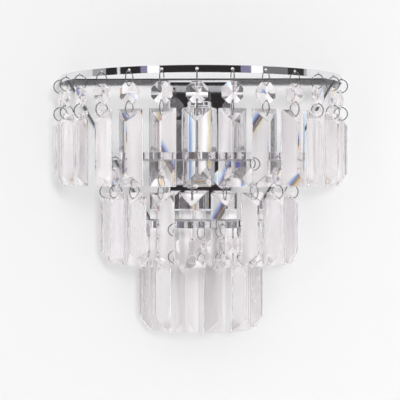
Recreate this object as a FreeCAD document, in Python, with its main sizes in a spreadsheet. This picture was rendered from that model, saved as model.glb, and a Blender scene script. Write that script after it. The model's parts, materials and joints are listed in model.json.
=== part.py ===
import FreeCAD, Part
import math
import os

import Sketcher

# Every driving size, in millimetres or degrees, with the words that explain it.
SIZES = (
    ("top_radius", 125, "outer radius of the top ring"),
    ("lower_radius", 51, "outer radius of the lower ring"),
    ("top_height", 57.3, "top ring centre above the origin"),
    ("upper_drop", 67.1, "top ring down to the middle ring"),
    ("lower_drop", 58.2, "middle ring down to the lower ring"),
    ("band_tall", 6, "height of the ring strip"),
    ("band_thick", 0.8, "thickness of the ring strip"),
    ("band_hole", 2.6, "hole that a chain hangs in"),
    ("bar_stand", 1.8, "gap between the wall and the ring's straight bar"),
    ("corner_round", 4, "outer bend radius at the ends of the straight bar"),
    ("lug_wide", 9, "screw lug under the top bar, width"),
    ("lug_tall", 9, "screw lug about its screw, height"),
    ("rod_dia", 2.3, "side rod diameter"),
    ("rod_inset", 3.4, "side rod axis inside the bar's end"),
    ("top_pitch", 12.85, "angle between the top chains"),
    ("middle_pitch", 18, "angle between the middle chains"),
    ("middle_turn", -3.4, "whole middle row turned about the vertical"),
    ("lower_pitch", 29.6, "angle between the lower chains"),
    ("lower_turn", 1.5, "whole lower row turned about the vertical"),
    ("wire_dia", 0.9, "link wire diameter"),
    ("link_radius", 5.8, "link radius to the middle of the wire"),
    ("hang_gap", 0.35, "gap under the wire in the band hole"),
    ("bead_wide", 17.2, "bead across its flats"),
    ("bead_thick", 5.2, "bead thickness at its centre"),
    ("bead_rim", 0.75, "bead half thickness at its flats"),
    ("bead_hole", 1.8, "bead hole diameter"),
    ("bead_inset", 2.6, "bead hole centre from the flat"),
    ("bead_seat", 0.15, "hanging piece below its support, centre to centre"),
    ("prism_wide", 22, "prism width"),
    ("prism_long", 62, "prism length"),
    ("prism_rim", 1.2, "prism thickness at its rim"),
    ("prism_rise", 7.8, "ridge height above the rim"),
    ("prism_hip", 10.5, "length of the sloped end facet"),
    ("prism_ridge", 2, "flat along the ridge"),
    ("prism_hole", 2.6, "prism hole diameter"),
    ("prism_inset", 5.4, "prism hole centre from the upper end"),
    ("prism_seat", 0.3, "prism hole centre above the low point of its link"),
    ("twist_link", 8, "lower link of the twisted chain, turned about the vertical"),
    ("twist_prism", 16, "prism of the twisted chain, turned about the vertical"),
    ("plate_wide", 56, "back plate width"),
    ("plate_tall", 114, "back plate height"),
    ("plate_front", 22, "back plate front face from the wall"),
    ("plate_rear", 2.8, "back plate rim from the wall"),
    ("plate_wall", 1, "back plate sheet thickness"),
    ("plate_bevel", 1.6, "bevel round the front face"),
    ("post_dia", 6.5, "threaded post diameter"),
    ("post_out", 19, "threaded post from the middle line"),
    ("post_drop", 8, "upper post below the plate's top edge"),
    ("frame_screw_dia", 3, "frame screw thread"),
    ("frame_screw_long", 10, "frame screw length under the head"),
    ("frame_head_dia", 5.5, "frame screw head"),
    ("frame_head_tall", 1.5, "frame screw head height"),
    ("strap_wide", 24, "wall strap width"),
    ("strap_tall", 90, "wall strap height"),
    ("strap_thick", 1.5, "wall strap thickness"),
    ("ear_height", 20, "strap ear centre above the origin"),
    ("ear_tall", 12, "strap ear height"),
    ("ear_deep", 14, "strap ear reach from the wall"),
    ("ear_gap", 0.3, "gap between the ear and the plate"),
    ("wall_hole", 4.5, "wall screw hole"),
    ("wall_spacing", 70, "wall screw spacing"),
    ("cable_hole", 9, "cable hole in the strap"),
    ("cable_height", 9.8, "cable hole above the middle ring"),
    ("grommet_bore", 6, "cable grommet bore"),
    ("grommet_flange", 11.2, "cable grommet flange"),
    ("cover_screw_dia", 4, "side screw thread"),
    ("cover_screw_back", 9, "side screw axis from the wall"),
    ("cover_head_dia", 7, "side screw head"),
    ("cover_head_tall", 1.8, "side screw head height"),
    ("cover_screw_long", 6, "side screw length under the head"),
    ("arm_height", 41.5, "lamp arm axis above the origin"),
    ("arm_dia", 8, "lamp arm outside"),
    ("arm_bore", 6.4, "lamp arm bore"),
    ("arm_rear", 13, "lamp arm inner end from the wall"),
    ("arm_tip", 49, "lamp arm outer end from the wall"),
    ("nut_flats", 13, "arm nut across flats"),
    ("nut_tall", 5, "arm nut height"),
    ("collar_dia", 15, "arm collar outside"),
    ("collar_tall", 2.5, "arm collar height"),
    ("holder_out", 56, "lampholder axis from the wall"),
    ("elbow_dia", 19, "elbow body diameter"),
    ("elbow_base", 36.5, "elbow underside above the origin"),
    ("elbow_shoulder", 44, "elbow shoulder above the origin"),
    ("elbow_crown", 47, "elbow crown above the origin"),
    ("elbow_crown_dia", 12, "elbow crown diameter"),
    ("boss_dia", 9.8, "elbow side boss"),
    ("boss_rear", 42, "elbow side boss end from the wall"),
    ("passage_dia", 6.4, "wire passage in the elbow"),
    ("cap_dia", 21, "holder cap outside"),
    ("cap_base", 30.8, "holder cap underside above the origin"),
    ("sleeve_dia", 30, "holder sleeve outside"),
    ("sleeve_wall", 0.8, "holder sleeve sheet thickness"),
    ("sleeve_base", -10.5, "holder sleeve mouth above the origin"),
    ("insert_base", -7, "insulator mouth above the origin"),
    ("insert_gap", 0.3, "gap between the insulator and the sleeve"),
    ("shell_bore", 13.97, "screw shell bore"),
    ("shell_wall", 0.6, "screw shell thickness"),
    ("shell_base", -5, "screw shell mouth above the origin"),
    ("shell_long", 18, "screw shell length"),
    ("contact_dia", 5, "centre contact diameter"),
    ("contact_tall", 3, "centre contact height"),
    ("contact_tip", 1.5, "centre contact tip height"),
    ("contact_gap", 1, "contact tip above the screw shell"),
    ("block_wide", 27, "terminal block width"),
    ("block_tall", 14, "terminal block height"),
    ("block_deep", 9, "terminal block depth"),
    ("block_height", 6, "terminal block centre above the origin"),
    ("pole_pitch", 8.5, "terminal pitch"),
    ("tube_dia", 4.4, "terminal tube outside"),
    ("tube_bore", 2.6, "terminal tube bore"),
    ("clamp_dia", 2.8, "terminal clamp screw diameter"),
    ("cord_dia", 1.8, "inner wire diameter"),
    ("cord_apart", 2.2, "inner wires, centre to centre in the arm"),
    ("cord_bend", 6, "inner wire bend radius in the elbow"),
    ("lead_bend", 4, "inner wire bend radius in the plate"),
    ("lead_in", 4, "inner wire length inside its terminal"),
    ("lead_rise", 14, "inner wire straight above the terminals"),
    ("lead_loop", 7.5, "inner wire loop behind the arm"),
    ("cord_end", 21, "inner wire end above the origin"),
    ("earth_height", 10.2, "earth screw below the middle ring"),
    ("earth_dia", 4, "earth screw thread"),
    ("earth_head", 7.5, "earth screw head"),
    ("earth_head_tall", 2.4, "earth screw head height"),
    ("earth_fall", 4, "earth wire straight below its terminal"),
    ("earth_lie", 6, "earth wire length lying towards its screw"),
)

TOP_CHAINS = 13
MIDDLE_CHAINS = 9
LOWER_CHAINS = 6
LOWER_TWISTED = 4
POLES = 3
OVER = 0.5  # how far a cutter runs past the faces it opens

doc = FreeCAD.newDocument("wall_lamp")
sheet = doc.addObject("Spreadsheet::Sheet", "Sizes")
for row, (alias, value, words) in enumerate(SIZES, start=1):
    sheet.set("A%d" % row, words)
    sheet.set("B%d" % row, str(value))
    sheet.setAlias("B%d" % row, alias)

# The middle radius follows the straight side rods.
last = len(SIZES) + 1
sheet.set("A%d" % last, "outer radius of the middle ring")
sheet.set(
    "B%d" % last,
    "=top_radius - (top_radius - lower_radius) * upper_drop / (upper_drop + lower_drop)",
)
sheet.setAlias("B%d" % last, "middle_radius")
doc.recompute()


def size(alias):
    """The value of one cell."""
    return float(sheet.get(alias))


Vec = FreeCAD.Vector
UP = FreeCAD.Rotation()
TO_FRONT = FreeCAD.Rotation(Vec(1, 0, 0), 90)
TO_WALL = FreeCAD.Rotation(Vec(1, 0, 0), -90)
TO_RIGHT = FreeCAD.Rotation(Vec(0, 1, 0), 90)
TO_LEFT = FreeCAD.Rotation(Vec(0, 1, 0), -90)
DOWN = FreeCAD.Rotation(Vec(1, 0, 0), 180)
HALF_TURN = FreeCAD.Rotation(Vec(0, 0, 1), 180)


def primitive(kind, name, at=(0, 0, 0), turn=UP, **sizes):
    """A primitive solid whose sizes follow the sheet."""
    made = doc.addObject(kind, name)
    for prop, text in sizes.items():
        made.setExpression(prop, text)
    made.Placement = FreeCAD.Placement(Vec(*at), turn)
    return made


def box(name, at, wide, deep, tall, turn=UP):
    return primitive("Part::Box", name, at, turn, Length=wide, Width=deep, Height=tall)


def cylinder(name, at, turn, dia, tall):
    radius = "(%s) / 2" % dia
    return primitive("Part::Cylinder", name, at, turn, Radius=radius, Height=tall)


def joined(name, solids):
    made = doc.addObject("Part::MultiFuse", name)
    made.Shapes = solids
    made.Refine = True
    return made


def shared(name, solids):
    made = doc.addObject("Part::MultiCommon", name)
    made.Shapes = solids
    return made


def cut(name, base, tools):
    """The base with every tool taken away."""
    made = doc.addObject("Part::Cut", name)
    made.Base = base
    made.Tool = tools[0] if len(tools) == 1 else joined(name + "_tools", tools)
    made.Refine = True
    return made


def group(name, solids, at=(0, 0, 0), turn=UP):
    """Several separate solids that share one node."""
    made = doc.addObject("Part::Compound", name)
    made.Links = solids
    made.Placement = FreeCAD.Placement(Vec(*at), turn)
    return made


nodes = []


def keep(label, made):
    """Marks an object as one finished sub-part of the lamp."""
    made.Label = label
    nodes.append((label, made))
    return made


# Heights of the three rings.
TIER_HEIGHT = {"top": size("top_height")}
TIER_HEIGHT["middle"] = TIER_HEIGHT["top"] - size("upper_drop")
TIER_HEIGHT["lower"] = TIER_HEIGHT["middle"] - size("lower_drop")
CABLE_AT = TIER_HEIGHT["middle"] + size("cable_height")
EARTH_AT = TIER_HEIGHT["middle"] - size("earth_height")
POST_AT = size("plate_tall") / 2 - size("post_drop")


def corner_middle(radius):
    """Where the bend at a bar's end has its centre, from the middle line."""
    rounding = size("corner_round")
    depth = size("bar_stand") + rounding
    return math.sqrt((radius - rounding) ** 2 - depth ** 2), depth


def d_loop(sketch, radius_text, round_text, stand_text, radius, rounding, stand):
    """A closed D outline: front arc, two corner bends and the straight bar."""
    depth = stand + rounding
    across = math.sqrt((radius - rounding) ** 2 - depth ** 2)
    lean = math.atan2(depth, across)
    normal = Vec(0, 0, 1)
    half = math.pi / 2
    front_circle = Part.Circle(Vec(0, 0, 0), normal, radius)
    right_circle = Part.Circle(Vec(across, -depth, 0), normal, rounding)
    left_circle = Part.Circle(Vec(-across, -depth, 0), normal, rounding)
    front = Part.ArcOfCircle(front_circle, math.pi + lean, 2 * math.pi - lean)
    right = Part.ArcOfCircle(right_circle, -lean, half)
    bar = Part.LineSegment(Vec(across, -stand, 0), Vec(-across, -stand, 0))
    left = Part.ArcOfCircle(left_circle, half, math.pi + lean)
    arc_id = sketch.addGeometry(front)
    right_id = sketch.addGeometry(right)
    bar_id = sketch.addGeometry(bar)
    left_id = sketch.addGeometry(left)
    sketch.addConstraint(Sketcher.Constraint("Tangent", arc_id, 2, right_id, 1))
    sketch.addConstraint(Sketcher.Constraint("Tangent", right_id, 2, bar_id, 1))
    sketch.addConstraint(Sketcher.Constraint("Tangent", bar_id, 2, left_id, 1))
    sketch.addConstraint(Sketcher.Constraint("Tangent", left_id, 2, arc_id, 1))
    sketch.addConstraint(Sketcher.Constraint("Coincident", arc_id, 3, -1, 1))
    sketch.addConstraint(Sketcher.Constraint("Horizontal", bar_id))
    sketch.addConstraint(Sketcher.Constraint("Equal", right_id, left_id))
    driven = (
        (Sketcher.Constraint("Radius", arc_id, radius), radius_text),
        (Sketcher.Constraint("Radius", right_id, rounding), round_text),
        (Sketcher.Constraint("DistanceY", bar_id, 1, -1, 1, stand), stand_text),
    )
    for constraint, text in driven:
        index = sketch.addConstraint(constraint)
        sketch.setExpression("Constraints[%d]" % index, text)


def d_ring(tier):
    """The bent strip of one tier, without its holes."""
    radius_alias = tier + "_radius"
    radius = size(radius_alias)
    thick = size("band_thick")
    body = doc.addObject("PartDesign::Body", tier + "_strip")
    sketch = body.newObject("Sketcher::SketchObject", tier + "_outline")
    plane = [item for item in body.Origin.OriginFeatures if item.Role == "XY_Plane"][0]
    sketch.AttachmentSupport = [(plane, "")]
    sketch.MapMode = "FlatFace"
    d_loop(
        sketch, "Sizes." + radius_alias, "Sizes.corner_round", "Sizes.bar_stand",
        radius, size("corner_round"), size("bar_stand"),
    )
    d_loop(
        sketch,
        "Sizes.%s - Sizes.band_thick" % radius_alias,
        "Sizes.corner_round - Sizes.band_thick",
        "Sizes.bar_stand + Sizes.band_thick",
        radius - thick, size("corner_round") - thick, size("bar_stand") + thick,
    )
    pad = body.newObject("PartDesign::Pad", tier + "_pad")
    pad.Profile = sketch
    pad.setExpression("Length", "Sizes.band_tall")
    body.Tip = pad
    low = TIER_HEIGHT[tier] - size("band_tall") / 2
    body.Placement = FreeCAD.Placement(Vec(0, 0, low), UP)
    return body


def row_angles(tier, count):
    """Angle of each chain from straight ahead, positive to the right."""
    turn = 0.0 if tier == "top" else size(tier + "_turn")
    pitch = size(tier + "_pitch")
    return [turn + (index - (count - 1) / 2) * pitch for index in range(count)]


def on_ring(radius, angle, height):
    lean = math.radians(angle)
    return (radius * math.sin(lean), -radius * math.cos(lean), height)


def about_up(angle):
    return FreeCAD.Rotation(Vec(0, 0, 1), angle)


def ring_cutters(tier, count):
    """One radial cutter for every chain of a tier."""
    tools = []
    tall = "Sizes.band_thick + %g" % (2 * OVER)
    inner = size(tier + "_radius") - size("band_thick") - OVER
    for index, angle in enumerate(row_angles(tier, count), start=1):
        name = "%s_hole_%02d" % (tier, index)
        at = on_ring(inner, angle, TIER_HEIGHT[tier])
        turn = about_up(angle).multiply(TO_FRONT)
        tools.append(cylinder(name, at, turn, "Sizes.band_hole", tall))
    return tools


# Screw places where the rings are held to the back plate.
FRAME_SPOTS = [
    (side * size("post_out"), height)
    for height in (POST_AT, TIER_HEIGHT["middle"])
    for side in (-1, 1)
]


def frame_holes(prefix, spots):
    """Clearance holes for the frame screws."""
    start = -size("bar_stand") + OVER
    tall = "Sizes.band_thick + %g" % (2 * OVER)
    return [
        cylinder("%s_screw_hole_%d" % (prefix, index), (across, start, height), TO_FRONT,
                 "Sizes.frame_screw_dia + 0.2", tall)
        for index, (across, height) in enumerate(spots, start=1)
    ]


# Top ring with two screw lugs under its bar.
top_strip = d_ring("top")
lug_low = POST_AT - size("lug_tall") / 2
lug_reach = "Sizes.top_height - Sizes.plate_tall / 2 + Sizes.post_drop + Sizes.lug_tall / 2"
lugs = [
    box(
        "top_lug_%d" % index,
        (across - size("lug_wide") / 2, -size("bar_stand") - size("band_thick"), lug_low),
        "Sizes.lug_wide", "Sizes.band_thick", lug_reach,
    )
    for index, (across, height) in enumerate(FRAME_SPOTS[:2], start=1)
]
top_blank = joined("top_blank", [top_strip] + lugs)
keep("top_ring", cut(
    "top_ring_cut", top_blank,
    ring_cutters("top", TOP_CHAINS) + frame_holes("top", FRAME_SPOTS[:2]),
))

# Middle ring, held through its bar, and the lower ring.
keep("middle_ring", cut(
    "middle_ring_cut", d_ring("middle"),
    ring_cutters("middle", MIDDLE_CHAINS) + frame_holes("middle", FRAME_SPOTS[2:]),
))
keep("lower_ring", cut("lower_ring_cut", d_ring("lower"), ring_cutters("lower", LOWER_CHAINS)))


def side_rod(label, side):
    """A straight rod that lies on the fronts of the three bars."""
    across_top = corner_middle(size("top_radius"))[0] - size("rod_inset")
    across_low = corner_middle(size("lower_radius"))[0] - size("rod_inset")
    back = -size("bar_stand") - size("band_thick") - size("rod_dia") / 2
    upper = Vec(side * across_top, back, TIER_HEIGHT["top"])
    lower = Vec(side * across_low, back, TIER_HEIGHT["lower"])
    along = upper.sub(lower)
    spare = 2 * size("band_tall")
    start = lower.sub(Vec(along).normalize().multiply(spare))
    turn = FreeCAD.Rotation(Vec(0, 0, 1), along)
    long = along.Length + 2 * spare
    rod = cylinder(label + "_long", tuple(start), turn, "Sizes.rod_dia", "%.6f" % long)
    low = TIER_HEIGHT["lower"] - size("band_tall") / 2
    tall = "Sizes.upper_drop + Sizes.lower_drop + Sizes.band_tall"
    reach = size("top_radius")
    wide = "2 * Sizes.top_radius"
    trim = box(label + "_trim", (-reach, -reach, low), wide, wide, tall)
    return keep(label, shared(label + "_cut", [rod, trim]))


side_rod("left_rod", -1)
side_rod("right_rod", 1)

# Master pieces of one chain, hung from the middle of a band hole, outward along -Y.
wire = size("wire_dia") / 2
link = size("link_radius")
wire_top = -(size("band_hole") / 2 - wire - size("hang_gap"))
upper_link_low = wire_top - 2 * link
bead_reach = size("bead_wide") / 2 - size("bead_inset")
bead_middle = upper_link_low - size("bead_seat") - bead_reach
lower_link_top = bead_middle - bead_reach - size("bead_seat")
lower_link_low = lower_link_top - 2 * link
prism_hole_at = lower_link_low + size("prism_seat")
prism_top = prism_hole_at + size("prism_inset")
prism_low = prism_top - size("prism_long")


def link_ring(name, height):
    return primitive(
        "Part::Torus", name, (0, 0, height), TO_RIGHT,
        Radius1="Sizes.link_radius", Radius2="Sizes.wire_dia / 2",
    )


upper_link = link_ring("upper_link", wire_top - link)
lower_link = link_ring("lower_link", lower_link_top - link)

# Bead: an eight sided girdle shared with a shallow four sided point on each face.
girdle_turn = TO_FRONT.multiply(about_up(22.5))
girdle = primitive(
    "Part::Prism", "bead_girdle", (0, size("bead_thick") / 2, bead_middle), girdle_turn,
    Circumradius="Sizes.bead_wide / 2 / cos(22.5 deg)", Height="Sizes.bead_thick",
)
girdle.Polygon = 8
point_half = "Sizes.bead_wide / 2 / (1 - 2 * Sizes.bead_rim / Sizes.bead_thick)"


def bead_point(name, turn):
    made = primitive(
        "Part::Wedge", name, (0, 0, bead_middle), turn,
        Xmin="-" + point_half, Xmax=point_half, Zmin="-" + point_half, Zmax=point_half,
        Ymax="Sizes.bead_thick / 2",
    )
    made.Ymin = 0
    made.X2min = made.X2max = made.Z2min = made.Z2max = 0
    return made


front_point = bead_point("bead_front_point", HALF_TURN)
rear_point = bead_point("bead_rear_point", FreeCAD.Rotation(Vec(0, 1, 0), 45))
bead_blank = shared("bead_blank", [girdle, joined("bead_points", [front_point, rear_point])])
bead_holes = [
    cylinder(
        "bead_hole_%d" % index, (0, size("bead_thick"), bead_middle + side * bead_reach), TO_FRONT,
        "Sizes.bead_hole", "2 * Sizes.bead_thick",
    )
    for index, side in enumerate((1, -1), start=1)
]
bead = cut("bead", bead_blank, bead_holes)


def prism_balance():
    """Depth of the prism's centre of mass in front of its flat back."""
    wide = size("prism_wide")
    long = size("prism_long")
    rim = size("prism_rim")
    rise = size("prism_rise")
    flat = size("prism_ridge")
    hip = size("prism_hip")
    slab = wide * long * rim
    steps = 200
    roof = 0.0
    moment = 0.0
    for index in range(steps):
        part = (index + 0.5) / steps
        area = (wide - (wide - flat) * part) * (long - 2 * hip * part)
        roof += area * rise / steps
        moment += area * rise / steps * (rim + rise * part)
    return (slab * rim / 2 + moment) / (slab + roof)


# Prism: a flat slab with a hipped roof that faces outward, balanced under its hole.
prism_back = prism_balance()
slab = box(
    "prism_slab", (-size("prism_wide") / 2, prism_back - size("prism_rim"), prism_low),
    "Sizes.prism_wide", "Sizes.prism_rim", "Sizes.prism_long",
)
roof = primitive(
    "Part::Wedge", "prism_roof", (0, prism_back - size("prism_rim"), prism_low), HALF_TURN,
    Xmin="-Sizes.prism_wide / 2", Xmax="Sizes.prism_wide / 2", Zmax="Sizes.prism_long",
    X2min="-Sizes.prism_ridge / 2", X2max="Sizes.prism_ridge / 2",
    Z2min="Sizes.prism_hip", Z2max="Sizes.prism_long - Sizes.prism_hip", Ymax="Sizes.prism_rise",
)
roof.Ymin = 0
roof.Zmin = 0
prism_drill = cylinder(
    "prism_drill", (0, prism_back + OVER, prism_hole_at), TO_FRONT,
    "Sizes.prism_hole", "Sizes.prism_rim + Sizes.prism_rise + %g" % (2 * OVER),
)
prism = cut("prism", joined("prism_blank", [slab, roof]), [prism_drill])


plain_chain = [upper_link, bead, lower_link, prism]
twisted_chain = [
    upper_link,
    bead,
    group("twisted_link", [lower_link], turn=about_up(size("twist_link"))),
    group("twisted_prism", [prism], turn=about_up(size("twist_prism"))),
]


def hang_row(tier, count, twisted=0):
    """One chain of two links, a bead and a prism in every hole of a tier."""
    radius = size(tier + "_radius") - size("band_thick") / 2
    for index, angle in enumerate(row_angles(tier, count), start=1):
        label = "%s_drop_%02d" % (tier, index)
        at = on_ring(radius, angle, TIER_HEIGHT[tier])
        chain = twisted_chain if index == twisted else plain_chain
        keep(label, group(label, chain, at, about_up(angle)))


hang_row("top", TOP_CHAINS)
hang_row("middle", MIDDLE_CHAINS)
hang_row("lower", LOWER_CHAINS, twisted=LOWER_TWISTED)

# Back plate: a hollow tray with a bevelled front, open to the wall.
half_wide = size("plate_wide") / 2
half_tall = size("plate_tall") / 2
front_in = size("plate_front") - size("plate_wall")
tray = box(
    "plate_tray", (-half_wide, -size("plate_front") + size("plate_bevel"), -half_tall),
    "Sizes.plate_wide", "Sizes.plate_front - Sizes.plate_rear - Sizes.plate_bevel", "Sizes.plate_tall",
)
face = primitive(
    "Part::Wedge", "plate_face", (0, -size("plate_front") + size("plate_bevel"), 0), HALF_TURN,
    Xmin="-Sizes.plate_wide / 2", Xmax="Sizes.plate_wide / 2",
    Zmin="-Sizes.plate_tall / 2", Zmax="Sizes.plate_tall / 2",
    X2min="-Sizes.plate_wide / 2 + Sizes.plate_bevel", X2max="Sizes.plate_wide / 2 - Sizes.plate_bevel",
    Z2min="-Sizes.plate_tall / 2 + Sizes.plate_bevel", Z2max="Sizes.plate_tall / 2 - Sizes.plate_bevel",
    Ymax="Sizes.plate_bevel",
)
face.Ymin = 0
hollow = box(
    "plate_hollow",
    (-half_wide + size("plate_wall"), -front_in, -half_tall + size("plate_wall")),
    "Sizes.plate_wide - 2 * Sizes.plate_wall", "Sizes.plate_front - Sizes.plate_wall",
    "Sizes.plate_tall - 2 * Sizes.plate_wall",
)
arm_hole = cylinder(
    "plate_arm_hole", (0, -front_in + OVER, size("arm_height")), TO_FRONT,
    "Sizes.arm_dia + 0.2", "Sizes.plate_wall + %g" % (2 * OVER),
)
side_holes = cylinder(
    "plate_side_holes", (-size("plate_wide"), -size("cover_screw_back"), size("ear_height")), TO_RIGHT,
    "Sizes.cover_screw_dia + 0.3", "2 * Sizes.plate_wide",
)
plate_blank = joined("plate_blank", [tray, face])
keep("back_plate", cut("back_plate_cut", plate_blank, [hollow, arm_hole, side_holes]))

# Threaded posts inside the plate, and the low screws that hold the rings to them.
posts = []
screws = []
head_start = -(size("bar_stand") - size("frame_head_tall"))
for index, (across, height) in enumerate(FRAME_SPOTS, start=1):
    stem = cylinder(
        "post_stem_%d" % index, (across, -size("plate_rear"), height), TO_FRONT,
        "Sizes.post_dia", "Sizes.plate_front - Sizes.plate_wall - Sizes.plate_rear",
    )
    thread = cylinder(
        "post_thread_%d" % index, (across, 0, height), TO_FRONT,
        "Sizes.frame_screw_dia", "Sizes.bar_stand + Sizes.frame_screw_long",
    )
    posts.append(cut("post_%d" % index, stem, [thread]))
    head = cylinder(
        "frame_head_%d" % index, (across, head_start, height), TO_FRONT,
        "Sizes.frame_head_dia", "Sizes.frame_head_tall",
    )
    shank = cylinder(
        "frame_shank_%d" % index, (across, head_start, height), TO_FRONT,
        "Sizes.frame_screw_dia - 0.1", "Sizes.frame_head_tall + Sizes.frame_screw_long - 0.4",
    )
    screws.append(joined("frame_screw_%d" % index, [head, shank]))
keep("fixing_posts", group("fixing_posts", posts))
keep("frame_screws", group("frame_screws", screws))

# Wall strap with two folded ears, wall screw holes and a cable hole.
ear_out = half_wide - size("plate_wall") - size("ear_gap")
ear_low = size("ear_height") - size("ear_tall") / 2
thick = size("strap_thick")
strap_parts = [
    box(
        "strap_web", (-size("strap_wide") / 2, -thick, -size("strap_tall") / 2),
        "Sizes.strap_wide", "Sizes.strap_thick", "Sizes.strap_tall",
    ),
    box(
        "strap_cross", (-ear_out, -thick, ear_low),
        "%.6f" % (2 * ear_out), "Sizes.strap_thick", "Sizes.ear_tall",
    ),
]
for name, across in (("strap_ear_left", -ear_out), ("strap_ear_right", ear_out - thick)):
    strap_parts.append(box(
        name, (across, -size("ear_deep"), ear_low),
        "Sizes.strap_thick", "Sizes.ear_deep", "Sizes.ear_tall",
    ))
strap_tools = [
    cylinder(
        "strap_%s_hole" % name, (0, OVER, height), TO_FRONT, dia, "Sizes.strap_thick + %g" % (2 * OVER),
    )
    for name, height, dia in (
        ("upper", size("wall_spacing") / 2, "Sizes.wall_hole"),
        ("lower", -size("wall_spacing") / 2, "Sizes.wall_hole"),
        ("cable", CABLE_AT, "Sizes.cable_hole"),
        ("earth", EARTH_AT, "Sizes.earth_dia"),
    )
]
strap_tools.append(cylinder(
    "strap_ear_holes", (-size("plate_wide"), -size("cover_screw_back"), size("ear_height")), TO_RIGHT,
    "Sizes.cover_screw_dia", "2 * Sizes.plate_wide",
))
keep("wall_bracket", cut("wall_bracket_cut", joined("strap_blank", strap_parts), strap_tools))

# Rubber grommet in the cable hole.
grommet_blank = joined("grommet_blank", [
    cylinder("grommet_neck", (0, 0, CABLE_AT), TO_FRONT, "Sizes.cable_hole", "Sizes.strap_thick"),
    cylinder("grommet_lip", (0, -thick, CABLE_AT), TO_FRONT, "Sizes.grommet_flange", "Sizes.strap_thick"),
])
grommet_bore = cylinder(
    "grommet_bore", (0, OVER, CABLE_AT), TO_FRONT, "Sizes.grommet_bore",
    "2 * Sizes.strap_thick + %g" % (2 * OVER),
)
keep("cable_grommet", cut("cable_grommet_cut", grommet_blank, [grommet_bore]))

# Side screws that close the plate onto the ears.
cover_screws = []
for index, (side, turn) in enumerate(((-1, TO_RIGHT), (1, TO_LEFT)), start=1):
    seat = side * half_wide
    drop = (seat, -size("cover_screw_back"), size("ear_height"))
    back_turn = TO_LEFT if side < 0 else TO_RIGHT
    cover_screws.append(joined("cover_screw_%d" % index, [
        cylinder("cover_head_%d" % index, drop, back_turn, "Sizes.cover_head_dia", "Sizes.cover_head_tall"),
        cylinder(
            "cover_shank_%d" % index, drop, turn, "Sizes.cover_screw_dia - 0.1", "Sizes.cover_screw_long",
        ),
    ]))
keep("cover_screws", group("cover_screws", cover_screws))

# Earth screw on the strap.
keep("earth_screw", joined("earth_screw", [
    cylinder("earth_head", (0, -thick, EARTH_AT), TO_FRONT, "Sizes.earth_head", "Sizes.earth_head_tall"),
    cylinder(
        "earth_shank", (0, -0.2, EARTH_AT), TO_FRONT,
        "Sizes.earth_dia - 0.1", "Sizes.strap_thick - 0.2 + Sizes.earth_head_tall / 2",
    ),
]))

# Lamp arm: a threaded tube through the plate, with a nut inside and a collar outside.
arm_up = size("arm_height")
arm_tube = cylinder(
    "arm_tube", (0, -size("arm_rear"), arm_up), TO_FRONT, "Sizes.arm_dia", "Sizes.arm_tip - Sizes.arm_rear",
)
arm_bore = cylinder(
    "arm_bore", (0, 0, arm_up), TO_FRONT, "Sizes.arm_bore", "Sizes.arm_tip + %g" % OVER,
)
keep("lamp_arm", cut("lamp_arm_cut", arm_tube, [arm_bore]))
nut_at = (0, -front_in + size("nut_tall"), arm_up)
nut = primitive(
    "Part::Prism", "nut_blank", nut_at, TO_FRONT,
    Circumradius="Sizes.nut_flats / 2 / cos(30 deg)", Height="Sizes.nut_tall",
)
nut.Polygon = 6
nut_thread = cylinder("nut_thread", (0, 0, arm_up), TO_FRONT, "Sizes.arm_dia + 0.1", "Sizes.plate_front")
keep("arm_nut", cut("arm_nut_cut", nut, [nut_thread]))
collar_blank = primitive(
    "Part::Cone", "collar_blank", (0, -size("plate_front"), arm_up), TO_FRONT,
    Radius1="Sizes.collar_dia / 2", Radius2="Sizes.arm_dia / 2 + 1", Height="Sizes.collar_tall",
)
collar_bore = cylinder(
    "collar_bore", (0, 0, arm_up), TO_FRONT,
    "Sizes.arm_dia + 0.1", "Sizes.plate_front + 2 * Sizes.collar_tall",
)
keep("arm_collar", cut("arm_collar_cut", collar_blank, [collar_bore]))

# Elbow: a black body with a side boss for the arm and a passage for the wires.
axis = -size("holder_out")
elbow_blank = joined("elbow_blank", [
    cylinder(
        "elbow_body", (0, axis, size("elbow_base")), UP,
        "Sizes.elbow_dia", "Sizes.elbow_shoulder - Sizes.elbow_base",
    ),
    primitive(
        "Part::Cone", "elbow_crown", (0, axis, size("elbow_shoulder")), UP,
        Radius1="Sizes.elbow_dia / 2", Radius2="Sizes.elbow_crown_dia / 2",
        Height="Sizes.elbow_crown - Sizes.elbow_shoulder",
    ),
    cylinder(
        "elbow_boss", (0, -size("boss_rear"), arm_up), TO_FRONT,
        "Sizes.boss_dia", "Sizes.holder_out - Sizes.boss_rear",
    ),
])
elbow_tools = [
    cylinder(
        "elbow_socket", (0, -size("boss_rear") + OVER, arm_up), TO_FRONT,
        "Sizes.arm_dia + 0.1", "Sizes.arm_tip - Sizes.boss_rear + %g" % OVER,
    ),
    cylinder(
        "elbow_passage", (0, -size("arm_tip") + OVER, arm_up), TO_FRONT,
        "Sizes.passage_dia", "Sizes.holder_out - Sizes.arm_tip + %g" % OVER,
    ),
    cylinder(
        "elbow_well", (0, axis, size("elbow_base") - OVER), UP,
        "Sizes.passage_dia + 0.8",
        "Sizes.arm_height - Sizes.elbow_base + Sizes.passage_dia / 2 + 0.4 + %g" % OVER,
    ),
]
keep("holder_elbow", cut("holder_elbow_cut", elbow_blank, elbow_tools))


def turned(label, low_alias, high_alias, outside, bore):
    """A plain ring about the lampholder axis between two heights."""
    low = size(low_alias)
    tall = "Sizes.%s - Sizes.%s" % (high_alias, low_alias)
    blank = cylinder(label + "_blank", (0, axis, low), UP, outside, tall)
    hole = cylinder(label + "_bore", (0, axis, low - OVER), UP, bore, "%s + %g" % (tall, 2 * OVER))
    return keep(label, cut(label + "_cut", blank, [hole]))


turned("holder_cap", "cap_base", "elbow_base", "Sizes.cap_dia", "Sizes.passage_dia + 1")

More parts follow.
